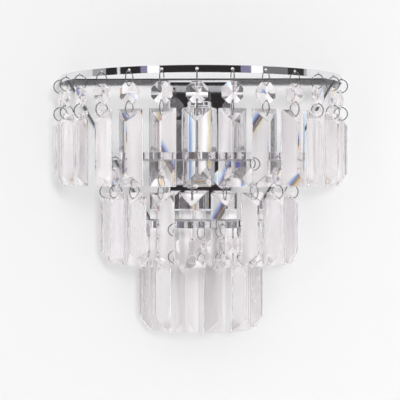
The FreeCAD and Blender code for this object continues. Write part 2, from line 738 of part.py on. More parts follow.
# Sleeve: a chrome tube closed at the top under the cap.
sleeve_blank = cylinder(
    "sleeve_blank", (0, axis, size("sleeve_base")), UP,
    "Sizes.sleeve_dia", "Sizes.cap_base - Sizes.sleeve_base",
)
sleeve_hollow = cylinder(
    "sleeve_hollow", (0, axis, size("sleeve_base") - OVER), UP,
    "Sizes.sleeve_dia - 2 * Sizes.sleeve_wall",
    "Sizes.cap_base - Sizes.sleeve_base - Sizes.sleeve_wall + %g" % OVER,
)
sleeve_eye = cylinder(
    "sleeve_eye", (0, axis, size("sleeve_base")), UP, "Sizes.passage_dia + 1",
    "Sizes.cap_base - Sizes.sleeve_base + %g" % OVER,
)
keep("holder_sleeve", cut("holder_sleeve_cut", sleeve_blank, [sleeve_hollow, sleeve_eye]))

# Insulator with the screw shell and the centre contact inside it.
insert_top = size("cap_base") - size("sleeve_wall")
contact_at = size("shell_base") + size("shell_long") + size("contact_gap") + size("contact_tip")
insert_blank = cylinder(
    "insert_blank", (0, axis, size("insert_base")), UP,
    "Sizes.sleeve_dia - 2 * Sizes.sleeve_wall - 2 * Sizes.insert_gap",
    "Sizes.cap_base - Sizes.sleeve_wall - Sizes.insert_base",
)
insert_tools = [
    cylinder(
        "insert_pocket", (0, axis, size("insert_base") - OVER), UP,
        "Sizes.shell_bore + 2 * Sizes.shell_wall",
        "Sizes.shell_base + Sizes.shell_long + Sizes.contact_gap + Sizes.contact_tip"
        " - Sizes.insert_base + %g" % OVER,
    ),
    cylinder(
        "insert_seat", (0, axis, contact_at - OVER), UP,
        "Sizes.contact_dia", "Sizes.contact_tall + %g" % OVER,
    ),
    cylinder(
        "insert_well", (0, axis, size("cord_end")), UP,
        "Sizes.passage_dia", "%.6f" % (insert_top - size("cord_end") + OVER),
    ),
]
keep("holder_body", cut("holder_body_cut", insert_blank, insert_tools))
shell_blank = cylinder(
    "shell_blank", (0, axis, size("shell_base")), UP,
    "Sizes.shell_bore + 2 * Sizes.shell_wall", "Sizes.shell_long",
)
shell_bore = cylinder(
    "shell_bore", (0, axis, size("shell_base") - OVER), UP,
    "Sizes.shell_bore", "Sizes.shell_long + %g" % (2 * OVER),
)
keep("screw_shell", cut("screw_shell_cut", shell_blank, [shell_bore]))
keep("centre_contact", joined("centre_contact", [
    cylinder("contact_stem", (0, axis, contact_at), UP, "Sizes.contact_dia", "Sizes.contact_tall"),
    primitive(
        "Part::Cone", "contact_tip", (0, axis, contact_at), DOWN,
        Radius1="Sizes.contact_dia / 2", Radius2="Sizes.contact_dia / 4", Height="Sizes.contact_tip",
    ),
]))

# Terminal block on the inside of the plate, with brass tubes and clamp screws.
block_rear = -front_in + size("block_deep")
tube_at = -front_in + size("block_deep") / 2
block_low = size("block_height") - size("block_tall") / 2
poles = [(index - (POLES - 1) / 2) * size("pole_pitch") for index in range(POLES)]
block_blank = box(
    "block_blank", (-size("block_wide") / 2, -front_in, block_low),
    "Sizes.block_wide", "Sizes.block_deep", "Sizes.block_tall",
)
block_tools = []
tubes = []
clamps = []
clamp_long = "Sizes.block_deep / 2 - Sizes.tube_dia / 2 - 0.4"
for index, across in enumerate(poles, start=1):
    block_tools.append(cylinder(
        "block_bore_%d" % index, (across, tube_at, block_low - OVER), UP,
        "Sizes.tube_dia", "Sizes.block_tall + %g" % (2 * OVER),
    ))
    tube = cylinder("tube_blank_%d" % index, (across, tube_at, block_low + 1), UP, "Sizes.tube_dia",
                    "Sizes.block_tall - 2")
    tube_hole = cylinder("tube_hole_%d" % index, (across, tube_at, block_low), UP, "Sizes.tube_bore",
                         "Sizes.block_tall")
    tubes.append(cut("tube_%d" % index, tube, [tube_hole]))
    for end in (-1, 1):
        name = "%d_%s" % (index, "upper" if end > 0 else "lower")
        at = (across, block_rear - 0.4, size("block_height") + end * size("block_tall") / 4)
        block_tools.append(cylinder("clamp_hole_" + name, (at[0], block_rear + OVER, at[2]), TO_FRONT,
                                    "Sizes.clamp_dia", "Sizes.block_deep / 2 + %g" % OVER))
        clamps.append(cylinder("clamp_" + name, at, TO_FRONT, "Sizes.clamp_dia - 0.1", clamp_long))
keep("terminal_block", cut("terminal_block_cut", block_blank, block_tools))
keep("terminal_tubes", group("terminal_tubes", tubes))
keep("terminal_screws", group("terminal_screws", clamps))


def swept_wire(label, edges):
    """A round wire along joined edges."""
    path = Part.Wire(edges)
    first = path.Edges[0]
    start = first.valueAt(first.FirstParameter)
    along = first.tangentAt(first.FirstParameter)
    ring = Part.Wire(Part.makeCircle(size("cord_dia") / 2, start, along))
    made = doc.addObject("Part::Feature", label)
    made.Shape = path.makePipeShell([ring], True, True)
    made.Placement = FreeCAD.Placement()
    return keep(label, made)


def bent_path(points, bends):
    """Straight runs between the points, with a tangent arc at every inner point."""
    corners = [Vec(*point) for point in points]
    edges = []
    last_end = corners[0]
    for index, bend in enumerate(bends, start=1):
        corner = corners[index]
        back = corners[index - 1].sub(corner).normalize()
        ahead = corners[index + 1].sub(corner).normalize()
        half = back.getAngle(ahead) / 2
        reach = bend / math.tan(half)
        first = corner.add(Vec(back).multiply(reach))
        final = corner.add(Vec(ahead).multiply(reach))
        inward = back.add(ahead).normalize()
        crest = corner.add(inward.multiply(bend / math.sin(half) - bend))
        edges.append(Part.makeLine(last_end, first))
        edges.append(Part.Arc(first, crest, final).toShape())
        last_end = final
    edges.append(Part.makeLine(last_end, corners[-1]))
    return edges


# Inner wires: from the terminals through the arm and the elbow to the lampholder.
lead_bend = size("lead_bend")
block_top = block_low + size("block_tall")
for label, side in (("neutral_wire", -1), ("live_wire", 1)):
    across = side * size("cord_apart") / 2
    pole = side * size("pole_pitch")
    swept_wire(label, bent_path(
        [
            (pole, tube_at, block_top - size("lead_in")),
            (pole, tube_at, block_top + size("lead_rise")),
            (across, -size("arm_rear") + size("lead_loop"), arm_up),
            (across, axis, arm_up),
            (across, axis, size("cord_end")),
        ],
        (lead_bend, lead_bend, size("cord_bend")),
    ))

# Earth wire from the middle terminal to the earth screw.
earth_face = -thick - size("earth_head_tall") - size("cord_dia") / 2
swept_wire("earth_wire", bent_path(
    [
        (0, tube_at, block_low + size("lead_in")),
        (0, tube_at, block_low - size("earth_fall")),
        (0, earth_face, EARTH_AT + size("earth_lie")),
        (0, earth_face, EARTH_AT),
    ],
    (lead_bend, lead_bend),
))

doc.recompute()
for item in doc.Objects:
    if "Invalid" in item.State or "Error" in item.State:
        raise RuntimeError("bad object: " + item.Label)

os.makedirs("parts", exist_ok=True)
for label, made in nodes:
    shape = made.Shape
    if shape.isNull() or not shape.isValid():
        raise RuntimeError("bad shape: " + label)
    shape.exportStep("parts/%s.step" % label)
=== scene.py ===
"""Looks of the three-tier wall lamp: chrome frame, clear drops on wire links, lampholder and wiring."""

import json
import math

import bmesh
import bpy
from mathutils import Matrix, Vector


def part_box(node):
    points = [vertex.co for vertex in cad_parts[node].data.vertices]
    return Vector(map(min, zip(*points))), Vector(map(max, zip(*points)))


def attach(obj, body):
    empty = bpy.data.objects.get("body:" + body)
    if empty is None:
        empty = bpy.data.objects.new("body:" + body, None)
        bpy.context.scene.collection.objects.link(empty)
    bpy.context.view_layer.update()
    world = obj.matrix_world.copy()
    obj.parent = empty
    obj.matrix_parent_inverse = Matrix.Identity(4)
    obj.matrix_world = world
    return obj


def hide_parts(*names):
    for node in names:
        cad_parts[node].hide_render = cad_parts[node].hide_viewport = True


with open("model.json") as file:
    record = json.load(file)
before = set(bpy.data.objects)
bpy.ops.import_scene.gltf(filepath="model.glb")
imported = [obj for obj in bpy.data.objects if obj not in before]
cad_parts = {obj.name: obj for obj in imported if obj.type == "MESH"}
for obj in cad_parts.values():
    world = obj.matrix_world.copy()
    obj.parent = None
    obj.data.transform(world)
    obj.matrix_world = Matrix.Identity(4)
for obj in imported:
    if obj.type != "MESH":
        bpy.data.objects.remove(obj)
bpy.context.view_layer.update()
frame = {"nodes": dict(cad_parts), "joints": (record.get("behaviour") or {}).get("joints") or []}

MM = 0.001
TIERS = ("top", "middle", "lower")
FULL_TURN = 2 * math.pi

# Meshes: the distance within which points merge, and the degrees past which smooth shading breaks.
MERGE_WITHIN = 0.004 * MM
WELD_WITHIN = 0.002 * MM
TURNED_BREAK = 35
WIRE_BREAK = 50
BAND_BREAK = 12
NODE_BREAK = math.radians(40)

# Lampholder: turned and drawn parts round an upright axis.
TURN_STEPS = 72
HOLDER_EYE = 3.7 * MM
SLEEVE_SHEET = 0.8 * MM
SLEEVE_SHOULDER = 1.9 * MM
SLEEVE_CHAMFER = 0.55 * MM
SLEEVE_ROUND = 0.12 * MM
SLEEVE_GROOVES = (3.6 * MM, 5.2 * MM)
GROOVE_SHAPE = ((-0.5 * MM, 0), (-0.2 * MM, 0.28 * MM), (0.2 * MM, 0.28 * MM), (0.5 * MM, 0))
CAP_FOOT_OUT = 0.45 * MM
CAP_FOOT_TALL = 1.3 * MM
CAP_WAIST_UP = 1.7 * MM
CAP_BEVEL_TALL = 1.2 * MM
CAP_BEVEL_WIDE = 1.1 * MM
CAP_ROUND = 0.25 * MM
SHELL_SHEET = 0.25 * MM
THREAD_PITCH = 2.8 * MM
THREAD_DEEP = 0.5 * MM
THREAD_POINTS = 10

# Screws: heads and shanks by their radius, domes and slots as shares of the head, turns in degrees.
SLOT_WIDE = 0.3
DOME_TOP_WIDE = 0.55
DOME_TOP_DROP = 0.05
DOME_EDGE_DROP = 0.5
SCREW_TIP = 0.4 * MM
SCREW_ROUND = 0.06 * MM
COVER_HEAD_TALL = 1.8 * MM
COVER_SHANK = 1.95 * MM
COVER_LONG = 7.8 * MM
COVER_TURNS = (24, -61)
FRAME_HEAD = 2.75 * MM
FRAME_HEAD_TALL = 1.5 * MM
FRAME_SHANK = 1.45 * MM
FRAME_TURNS = (12, 75, -38, 140)
EARTH_HEAD_TALL = 2.4 * MM
EARTH_SHANK = 1.95 * MM
EARTH_TURN = 33
CLAMP_RADIUS = 1.35 * MM
CLAMP_HEAD_TALL = 0.6 * MM
CLAMP_NECK = 0.15 * MM
CLAMP_TURN_ACROSS = 40
CLAMP_TURN_UP = 900 / MM

# Rings: the strip's section and the bend at the ends of its straight bar.
BAND_THICK = 0.8 * MM
BAND_EDGE_ROUND = 0.22 * MM
BAND_HOLE = 2.6 * MM
BAND_HOLE_LONG = 6 * BAND_THICK
BAND_HOLE_SIDES = 28
BAR_POLISHED = 1.1 * MM
CORNER_ROUND = 4 * MM
ARC_STEPS = 200
CORNER_STEPS = 14
FACES_IN = -0.7

# Chains, measured down from the middle of the band hole.
SWING_BELOW_HOLE = 0.95 * MM
WIRE_RADIUS = 0.45 * MM
LINK_RADIUS = 5.8 * MM
LINK_SPLIT = math.radians(5)
LINK_STEPS = 44
WIRE_SIDES = 10
UPPER_LINK_DOWN = 6.3 * MM
BEAD_DOWN = 18.25 * MM
LOWER_LINK_DOWN = 30.2 * MM
PRISM_TOP_DOWN = 30.3 * MM

# Bead: an octagon with a four-sided point on each face.
BEAD_WIDE = 17.2 * MM
BEAD_THICK = 5.2 * MM
BEAD_RIM = 0.75 * MM
BEAD_HOLE = 1.8 * MM
BEAD_HOLE_OUT = 6 * MM
BEAD_HOLE_SIDES = 16
BEAD_EDGE = 0.16 * MM

# Prism: a thin slab with a hipped roof towards the room.
PRISM_WIDE = 22 * MM
PRISM_LONG = 62 * MM
PRISM_RIM = 1.2 * MM
PRISM_RISE = 7.8 * MM
PRISM_HIP = 10.5 * MM
PRISM_RIDGE = 2 * MM
PRISM_BACK = 3.04 * MM
PRISM_HOLE = 2.6 * MM
PRISM_HOLE_DOWN = 5.4 * MM
PRISM_HOLE_SIDES = 20
PRISM_EDGE = 0.3 * MM

# Chains that have twisted: degrees by which the lower link and the prism are turned about the vertical.
TWISTS = {
    "top_chain_03": (-8, -15),
    "top_chain_04": (-8, -15),
    "top_chain_08": (-5, -10),
    "top_chain_10": (-4, -9),
    "lower_chain_04": (8, 16),
}

# Smears: how much finer the second noise is, and the noise at which a smear begins and is full.
SMEAR_FINER = 9.0
SMEAR_RANGE = (0.14, 0.42)

# Clear pieces: tints, a painted shade for facets turned away from the light, refraction, light that
# passes on to shadows, and a painted glow for light caught inside a piece.
CLEAR = (1, 0.982, 0.988, 1)
CLEAR_SMEARED = (0.965, 0.945, 0.953, 1)
CLEAR_PAINTED_SHADE = (0.85, 0.828, 0.836, 1)
SHADED_FROM = -0.08
SHADED_FULL = -0.3
CLEARNESS = 0.96
ACRYLIC_BENDS = 1.49
CRYSTAL_BENDS = 1.7
LET_THROUGH = 0.82
MOST_TURNS = 3.5
PAINTED_TRAPPED_GLOW = (0.38, 0.364, 0.37, 1)

# Earth wire: the winding band's spacing, its soft edge and the colours.
STRIPE_SCALE = 90.0
STRIPE_EDGE = (0.45, 0.55)
STRIPE_GREEN = (0.05, 0.26, 0.07, 1)
STRIPE_YELLOW = (0.72, 0.62, 0.06, 1)
STRIPE_DULL = (0.3, 0.34, 0.1, 1)

# Stage: wall, floor and camera.
WALL_GAP = 0.4 * MM
WALL_WIDE = 3.2
WALL_TALL = 2.6
FLOOR_DOWN = 0.95
PALE = (0.905, 0.905, 0.905, 1)
PAINT_ROUGH = 0.9
PAINT_GLOSS = 0.1
CAMERA_AT = (25 * MM, -1.0, -26.5 * MM)
CAMERA_DOWN = math.radians(1.228)
CAMERA_LEFT = math.radians(1.483)
CAMERA_LENS = 100.8

# Painted light that the drops gather on the wall, shown only to rays through them: upright streaks, and a
# glow behind the middle of the lamp.
GATHERED = (1.0, 0.995, 0.996, 1)
GATHERED_DIM = (0.78, 0.755, 0.765, 1)
STREAK_SCALE = 85.0
STREAK_SHORTENED = 0.12
STREAK_RANGE = (0.36, 0.64)
GLOW = 0.4
GLOW_EDGE = 75 * MM
GLOW_LOW = -105 * MM
GLOW_FADE = 30 * MM

# Painted spectra on the wall beside the rods, within millimetres of them, and across the back plate,
# shown only to rays through the drops.
WHITE_LIGHT = (1, 1, 1, 1)
ROD_RADIUS = 1.15 * MM
ROD_SPREAD = 6.0
ROD_FRINGE = (
    (0.0, (1, 1, 1)),
    (0.12, (0.82, 0.9, 1)),
    (0.3, (0.3, 0.5, 1)),
    (0.44, (0.1, 0.08, 0.3)),
    (0.56, (0.3, 0.1, 0.05)),
    (0.7, (1, 0.6, 0.2)),
    (0.88, (1, 0.95, 0.75)),
    (1.0, (1, 1, 1)),
)
PLATE_SPREAD = 46 * MM
PLATE_FRINGE = (
    (0.0, (1, 1, 1)),
    (0.05, (1, 1, 1)),
    (0.068, (1, 0.96, 0.6)),
    (0.085, (1, 0.75, 0.3)),
    (0.1, (0.6, 0.3, 0.3)),
    (0.115, (1, 1, 1)),
    (0.885, (1, 1, 1)),
    (0.9, (0.16, 0.2, 0.9)),
    (0.915, (0.25, 0.75, 1)),
    (0.935, (0.85, 0.98, 1)),
    (0.96, (1, 1, 1)),
    (1.0, (1, 1, 1)),
)

# Room: colours by degrees from straight ahead of the lamp.
DARK = (0.036, 0.031, 0.033)
LAVENDER = (0.3, 0.28, 0.42)
WINDOW = (1.3, 1.3, 1.3)
PALE_WALL = (0.8, 0.8, 0.8)
GREY_WALL = (0.42, 0.41, 0.42)
ROOM_BELT = (
    (-179.9, PALE_WALL),
    (-118, GREY_WALL),
    (-80, DARK),
    (-67.5, (0.9, 0.9, 0.9)),
    (-65.5, DARK),
    (-47, LAVENDER),
    (-41, WINDOW),
    (-32, DARK),
    (31, LAVENDER),
    (39.5, WINDOW),
    (50, (0.22, 0.22, 0.225)),
    (73, (0.05, 0.046, 0.048)),
    (89, (0.5, 0.49, 0.5)),
    (102, (0.26, 0.255, 0.26)),
    (122, PALE_WALL),
)
LOW_LAMPS = (
    (-179.9, PALE_WALL),
    (-118, GREY_WALL),
    (-90, DARK),
    (-47, LAVENDER),
    (-41, WINDOW),
    (-32, DARK),
    (31, LAVENDER),
    (39.5, WINDOW),
    (48, (2.6, 2.55, 2.6)),
    (100, PALE_WALL),
)
NO_GLINT = (0, 0, 0)
GLINTS = (
    (-179.9, NO_GLINT),
    (-22, (0.03, 0.18, 0.35)),
    (-21.4, (0.06, 0.06, 0.35)),
    (-21, NO_GLINT),
    (17.7, (0.2, 0.06, 0.15)),
    (18.1, NO_GLINT),
    (20, (0.04, 0.35, 0.5)),
    (20.6, (0.5, 0.5, 0.5)),
    (21, (0.4, 0.25, 0.05)),
    (21.5, NO_GLINT),
    (25, (0.1, 0.08, 0.4)),
    (25.5, NO_GLINT),
)
CEILING = (0.78, 0.78, 0.78, 1)
GROUND = (0.45, 0.45, 0.45, 1)
BACKDROP = (0.91, 0.91, 0.91, 1)

# Room: where each zone begins and is full, as the upward part of a direction or as an angle aside.
GLINT_TOP = 0.055
LAMPS_ZONE = (-0.03, -0.07)
CEILING_ZONE = (0.30, 0.42)
GROUND_ZONE = (-0.32, -0.5)
ASIDE_ZONE = (math.radians(24), math.radians(38))
ASIDE_MOST = 0.9
UNSCATTERED = 0.5

# Key light: a large soft lamp in front.
KEY_AT = (1.25, -5.2, 1.05)
KEY_WIDE = 0.9
KEY_POWER = 147.0


# Building blocks

def add_node(tree, kind, inputs=None, **settings):
    """A node with its settings and input values, where a value may be another node's output."""
    made = tree.nodes.new(kind)
    for name, value in settings.items():
        setattr(made, name, value)
    for name, value in (inputs or {}).items():
        if isinstance(value, bpy.types.NodeSocket):
            tree.links.new(value, made.inputs[name])
        else:
            made.inputs[name].default_value = value
    return made


def mix_colours(tree, share, first, second, blend="MIX"):
    """Two colours mixed, added or multiplied by a share."""
    mixed = add_node(
        tree, "ShaderNodeMix", {0: share, 6: first, 7: second}, data_type="RGBA", blend_type=blend
    )
    return mixed.outputs[2]


def worked_out(tree, operation, first, second=0.0):
    """The outcome of one sum in a node tree."""
    return add_node(tree, "ShaderNodeMath", {0: first, 1: second}, operation=operation).outputs[0]


def product(tree, first, *others):
    """Values multiplied together."""
    for other in others:
        first = worked_out(tree, "MULTIPLY", first, other)
    return first


def share_between(tree, value, start, end, most=1.0):
    """How far a value has come from start to end, from nothing to the most."""
    limits = {"Value": value, "From Min": start, "From Max": end, "To Max": most}
    return add_node(tree, "ShaderNodeMapRange", limits).outputs[0]


def noise(tree, place, scale, detail):
    """Cloudy noise at a place."""
    inputs = {"Vector": place, "Scale": scale, "Detail": detail}
    return add_node(tree, "ShaderNodeTexNoise", inputs).outputs["Fac"]


def object_place(tree):
    """The place on a piece, in the lamp's own frame."""
    return add_node(tree, "ShaderNodeTexCoord").outputs["Object"]


def colour_steps(tree, place, steps, interpolation="CONSTANT"):
    """A colour ramp read at a place from 0 to 1; each step is a place and its colour."""
    ramp = add_node(tree, "ShaderNodeValToRGB", {0: place})
    ramp.color_ramp.interpolation = interpolation
    stops = ramp.color_ramp.elements
    for at, colour in steps:
        stops.new(at).color = (*colour, 1)
    stops.remove(stops[0])
    stops.remove(stops[-1])
    return ramp.outputs[0]


def shade(mesh, sharp_degrees):
    """Smooth shading that breaks at edges sharper than an angle."""
    mesh.shade_smooth()
    mesh.set_sharp_from_angle(angle=math.radians(sharp_degrees))


def finish_piece(name, mesh, material, body, nodes):
    """The mesh as a named piece that rides on a body and stands for CAD nodes."""
    mesh.name = name
    mesh.materials.clear()
    mesh.materials.append(material)
    piece = bpy.data.objects.new(name, mesh)
    bpy.context.scene.collection.objects.link(piece)
    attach(piece, body)
    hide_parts(*nodes)
    return piece


def everything(bm):
    """All vertices, edges and faces of a bmesh."""
    return list(bm.verts) + list(bm.edges) + list(bm.faces)


def to_mesh(bm, name):
    """The bmesh as a mesh with its doubles merged and its faces turned outwards."""
    bmesh.ops.remove_doubles(bm, verts=bm.verts, dist=MERGE_WITHIN)
    bmesh.ops.recalc_face_normals(bm, faces=bm.faces)
    mesh = bpy.data.meshes.new(name)
    bm.to_mesh(mesh)
    bm.free()
    return mesh


def drilled(mesh, cutter_mesh):
    """The mesh with the cutter taken out of it."""
    body = bpy.data.objects.new("drilled_body", mesh)
    cutter = bpy.data.objects.new("drilled_cutter", cutter_mesh)
    for made in (body, cutter):
        bpy.context.scene.collection.objects.link(made)
    cut = body.modifiers.new("cut", "BOOLEAN")
    cut.operation = "DIFFERENCE"
    cut.solver = "EXACT"
    cut.object = cutter
    depsgraph = bpy.context.evaluated_depsgraph_get()
    result = bpy.data.meshes.new_from_object(body.evaluated_get(depsgraph))
    for made in (body, cutter):
        bpy.data.objects.remove(made)
    return result


def hole_cutter(holes, sides):
    """Round cutters as one mesh; each hole is a centre, an axis, a diameter and a length."""
    bm = bmesh.new()
    for centre, axis, diameter, length in holes:
        turn = Vector((0, 0, 1)).rotation_difference(axis).to_matrix().to_4x4()
        bmesh.ops.create_cone(
            bm,
            cap_ends=True,
            segments=sides,
            radius1=diameter / 2,
            radius2=diameter / 2,
            depth=length,
            matrix=Matrix.Translation(centre) @ turn,
        )
    return to_mesh(bm, "hole_cutter")


def rounded_outline(bm, points, rounding):
    """The vertices and edges of a closed outline with rounded corners."""
    face = bm.faces.new([bm.verts.new(point) for point in points])
    bmesh.ops.bevel(
        bm,
        geom=list(face.verts),
        offset=rounding,
        segments=3,
        profile=0.5,
        affect="VERTICES",
        material=-1,
        clamp_overlap=True,
    )
    bmesh.ops.delete(bm, geom=list(bm.faces), context="FACES_ONLY")
    return list(bm.verts) + list(bm.edges)


def lathe(profile, rounding, name):
    """A closed profile of (radius, height) points with rounded corners, spun round the vertical."""
    bm = bmesh.new()
    outline = rounded_outline(bm, [(radius, 0, height) for radius, height in profile], rounding)
    bmesh.ops.spin(
        bm,
        geom=outline,
        cent=(0, 0, 0),
        axis=(0, 0, 1),
        angle=FULL_TURN,
        steps=TURN_STEPS,
        use_merge=True,
    )
    mesh = to_mesh(bm, name)
    shade(mesh, TURNED_BREAK)
    return mesh


def moved_copy(master, matrix):
    """A copy of a mesh with its place in its vertices."""
    mesh = master.copy()
    mesh.transform(matrix)
    return mesh


def joined_copies(master, matrices, name, sharp_degrees):
    """Copies of a mesh at several places as one smooth mesh."""
    bm = bmesh.new()
    for matrix in matrices:
        mesh = moved_copy(master, matrix)
        bm.from_mesh(mesh)
        bpy.data.meshes.remove(mesh)
    mesh = to_mesh(bm, name)
    shade(mesh, sharp_degrees)
    return mesh


# Effects that several finishes share

def new_group(name, inputs, outputs):
    """An empty node group with its sockets, and what its input node gives."""
    group = bpy.data.node_groups.new(name, "ShaderNodeTree")
    for socket, start in inputs:
        made = group.interface.new_socket(socket, in_out="INPUT", socket_type="NodeSocketFloat")
        made.default_value = start
    for socket in outputs:
        group.interface.new_socket(socket, in_out="OUTPUT", socket_type="NodeSocketFloat")
    return group, add_node(group, "NodeGroupInput").outputs


def smear_group():
    """Roughness that drifts over a surface as handling leaves it, and the mask behind it."""
    group, given = new_group(
        "smears", (("Scale", 40.0), ("Clean", 0.05), ("Smeared", 0.12)), ("Roughness", "Mask")
    )
    place = object_place(group)
    broad = noise(group, place, given["Scale"], 5.0)
    fine = noise(group, place, product(group, given["Scale"], SMEAR_FINER), 3.0)
    mask = share_between(group, product(group, broad, fine), *SMEAR_RANGE)
    limits = {"Value": mask, "To Min": given["Clean"], "To Max": given["Smeared"]}
    rough = add_node(group, "ShaderNodeMapRange", limits).outputs[0]
    add_node(group, "NodeGroupOutput", {"Roughness": rough, "Mask": mask})
    return group


def grain_group():
    """Height of a fine moulded or cast grain over a slow waviness."""
    group, given = new_group(
        "grain", (("Wave", 30.0), ("Grain", 900.0), ("Grain Share", 0.2)), ("Height",)
    )
    place = object_place(group)
    wave = noise(group, place, given["Wave"], 1.0)
    grain = noise(group, place, given["Grain"], 2.0)
    height = add_node(
        group, "ShaderNodeMix", {0: given["Grain Share"], 2: wave, 3: grain}, data_type="FLOAT"
    )
    add_node(group, "NodeGroupOutput", {"Height": height.outputs[0]})
    return group


def painted_facet_shade_group():
    """How far a drop's facet is turned to the left as its band runs, away from the light: the share of
    painted shade.
    """
    group, given = new_group("facets", (("From", SHADED_FROM), ("Full", SHADED_FULL)), ("Shade",))
    where = add_node(group, "ShaderNodeTexCoord").outputs
    level = add_node(
        group, "ShaderNodeVectorMath", {0: where["Object"], 1: (1, 1, 0)}, operation="MULTIPLY"
    )
    outward = add_node(group, "ShaderNodeVectorMath", {0: level.outputs[0]}, operation="NORMALIZE")
    turned = add_node(
        group, "ShaderNodeVectorMath", {0: outward.outputs[0], 1: where["Normal"]},
        operation="CROSS_PRODUCT",
    )
    side = add_node(group, "ShaderNodeSeparateXYZ", {0: turned.outputs[0]}).outputs["Z"]
    shaded = share_between(group, side, given["From"], given["Full"])
    add_node(group, "NodeGroupOutput", {"Shade": shaded})
    return group


SMEARS = smear_group()
GRAIN = grain_group()
PAINTED_FACET_SHADE = painted_facet_shade_group()


# Finishes

def new_finish(name, clean, smeared, smear_scale, wave, grain, grain_share, depth):
    """A material with the shared smears and grain, its Principled shader and its smear mask."""
    material = bpy.data.materials.new(name)
    material.use_nodes = True
    tree = material.node_tree
    shader = tree.nodes["Principled BSDF"]
    handling = {"Scale": smear_scale, "Clean": clean, "Smeared": smeared}
    smears = add_node(tree, "ShaderNodeGroup", handling, node_tree=SMEARS)
    tree.links.new(smears.outputs["Roughness"], shader.inputs["Roughness"])
    moulding = {"Wave": wave, "Grain": grain, "Grain Share": grain_share}
    relief = add_node(tree, "ShaderNodeGroup", moulding, node_tree=GRAIN)
    bump = add_node(
        tree, "ShaderNodeBump", {"Height": relief.outputs["Height"], "Distance": depth, "Strength": 1.0}
    )
    tree.links.new(bump.outputs["Normal"], shader.inputs["Normal"])
    return material, tree, shader, smears.outputs["Mask"]


def metal(name, colour, dull, **surface):
    """A plated or bare metal whose colour dulls a little where it is smeared."""
    material, tree, shader, mask = new_finish(name, **surface)
    shader.inputs["Metallic"].default_value = 1.0
    tree.links.new(mix_colours(tree, mask, colour, dull), shader.inputs["Base Color"])
    return material


def plastic(name, colour, dull, **surface):
    """A moulded plastic or rubber with a faint drift of colour."""
    material, tree, shader, mask = new_finish(name, **surface)
    tree.links.new(mix_colours(tree, mask, colour, dull), shader.inputs["Base Color"])
    return material


def clear_finish(name, bends):
    """Clear moulded pieces with polished facets and the faintest rosy cast."""
    material, tree, shader, mask = new_finish(
        name, clean=0.0, smeared=0.03, smear_scale=60, wave=55, grain=1500, grain_share=0.01,
        depth=0.004 * MM,
    )
    shader.inputs["Transmission Weight"].default_value = CLEARNESS
    shader.inputs["IOR"].default_value = bends
    # Painted shade: facets turned to the left, away from the key light, are mixed towards a darker tint
    # where they are seen from outside.
    limits = {"From": SHADED_FROM, "Full": SHADED_FULL}
    facets = add_node(tree, "ShaderNodeGroup", limits, node_tree=PAINTED_FACET_SHADE)
    inside = add_node(tree, "ShaderNodeNewGeometry").outputs["Backfacing"]
    shaded = product(tree, facets.outputs["Shade"], worked_out(tree, "SUBTRACT", 1.0, inside))
    tint = mix_colours(tree, mask, CLEAR, CLEAR_SMEARED)
    tree.links.new(mix_colours(tree, shaded, tint, CLEAR_PAINTED_SHADE), shader.inputs["Base Color"])
    path = add_node(tree, "ShaderNodeLightPath").outputs
    passed_on = product(tree, path["Is Shadow Ray"], LET_THROUGH)
    tree.links.new(worked_out(tree, "SUBTRACT", 1.0, passed_on), shader.inputs["Alpha"])
    # Painted glow: after more than a few glossy turns inside a clear piece, its surface gives a faint
    # light of its own in place of light the cut-off paths lose.
    caught = worked_out(tree, "GREATER_THAN", path["Glossy Depth"], MOST_TURNS)
    tree.links.new(mix_colours(tree, caught, (0, 0, 0, 1), PAINTED_TRAPPED_GLOW), shader.inputs["Emission Color"])
    shader.inputs["Emission Strength"].default_value = 1.0
    return material


CHROME = metal(
    "mirror_chrome", (0.82, 0.825, 0.84, 1), (0.74, 0.745, 0.76, 1),
    clean=0.025, smeared=0.07, smear_scale=45, wave=26, grain=700, grain_share=0.04, depth=0.012 * MM,
)
SATIN = metal(
    "satin_chrome", (0.8, 0.8, 0.81, 1), (0.7, 0.7, 0.71, 1),
    clean=0.26, smeared=0.36, smear_scale=60, wave=40, grain=1400, grain_share=0.3, depth=0.012 * MM,
)
WIRE = metal(
    "plated_wire", (0.3, 0.295, 0.3, 1), (0.2, 0.195, 0.2, 1),
    clean=0.06, smeared=0.16, smear_scale=220, wave=200, grain=2500, grain_share=0.3, depth=0.01 * MM,
)
BRASS = metal(
    "bare_brass", (0.78, 0.6, 0.28, 1), (0.6, 0.43, 0.2, 1),
    clean=0.2, smeared=0.38, smear_scale=160, wave=120, grain=1800, grain_share=0.4, depth=0.012 * MM,
)
ZINC = metal(
    "zinc_plate", (0.66, 0.68, 0.69, 1), (0.5, 0.53, 0.55, 1),
    clean=0.26, smeared=0.48, smear_scale=90, wave=140, grain=1600, grain_share=0.5, depth=0.015 * MM,
)
BLACK = plastic(
    "black_moulding", (0.018, 0.018, 0.02, 1), (0.045, 0.044, 0.046, 1),
    clean=0.22, smeared=0.42, smear_scale=130, wave=90, grain=2200, grain_share=0.6, depth=0.02 * MM,
)
WHITE = plastic(
    "white_insulator", (0.83, 0.82, 0.77, 1), (0.72, 0.7, 0.64, 1),
    clean=0.32, smeared=0.5, smear_scale=120, wave=90, grain=2000, grain_share=0.6, depth=0.02 * MM,
)
RUBBER = plastic(
    "grommet_rubber", (0.03, 0.03, 0.03, 1), (0.07, 0.068, 0.065, 1),
    clean=0.55, smeared=0.8, smear_scale=150, wave=110, grain=2600, grain_share=0.7, depth=0.03 * MM,
)
ACRYLIC = clear_finish("clear_acrylic", ACRYLIC_BENDS)
CRYSTAL = clear_finish("clear_crystal", CRYSTAL_BENDS)
WIRE_COAT = {
    "clean": 0.3, "smeared": 0.45, "smear_scale": 200, "wave": 150, "grain": 2600, "grain_share": 0.5,
    "depth": 0.01 * MM,
}


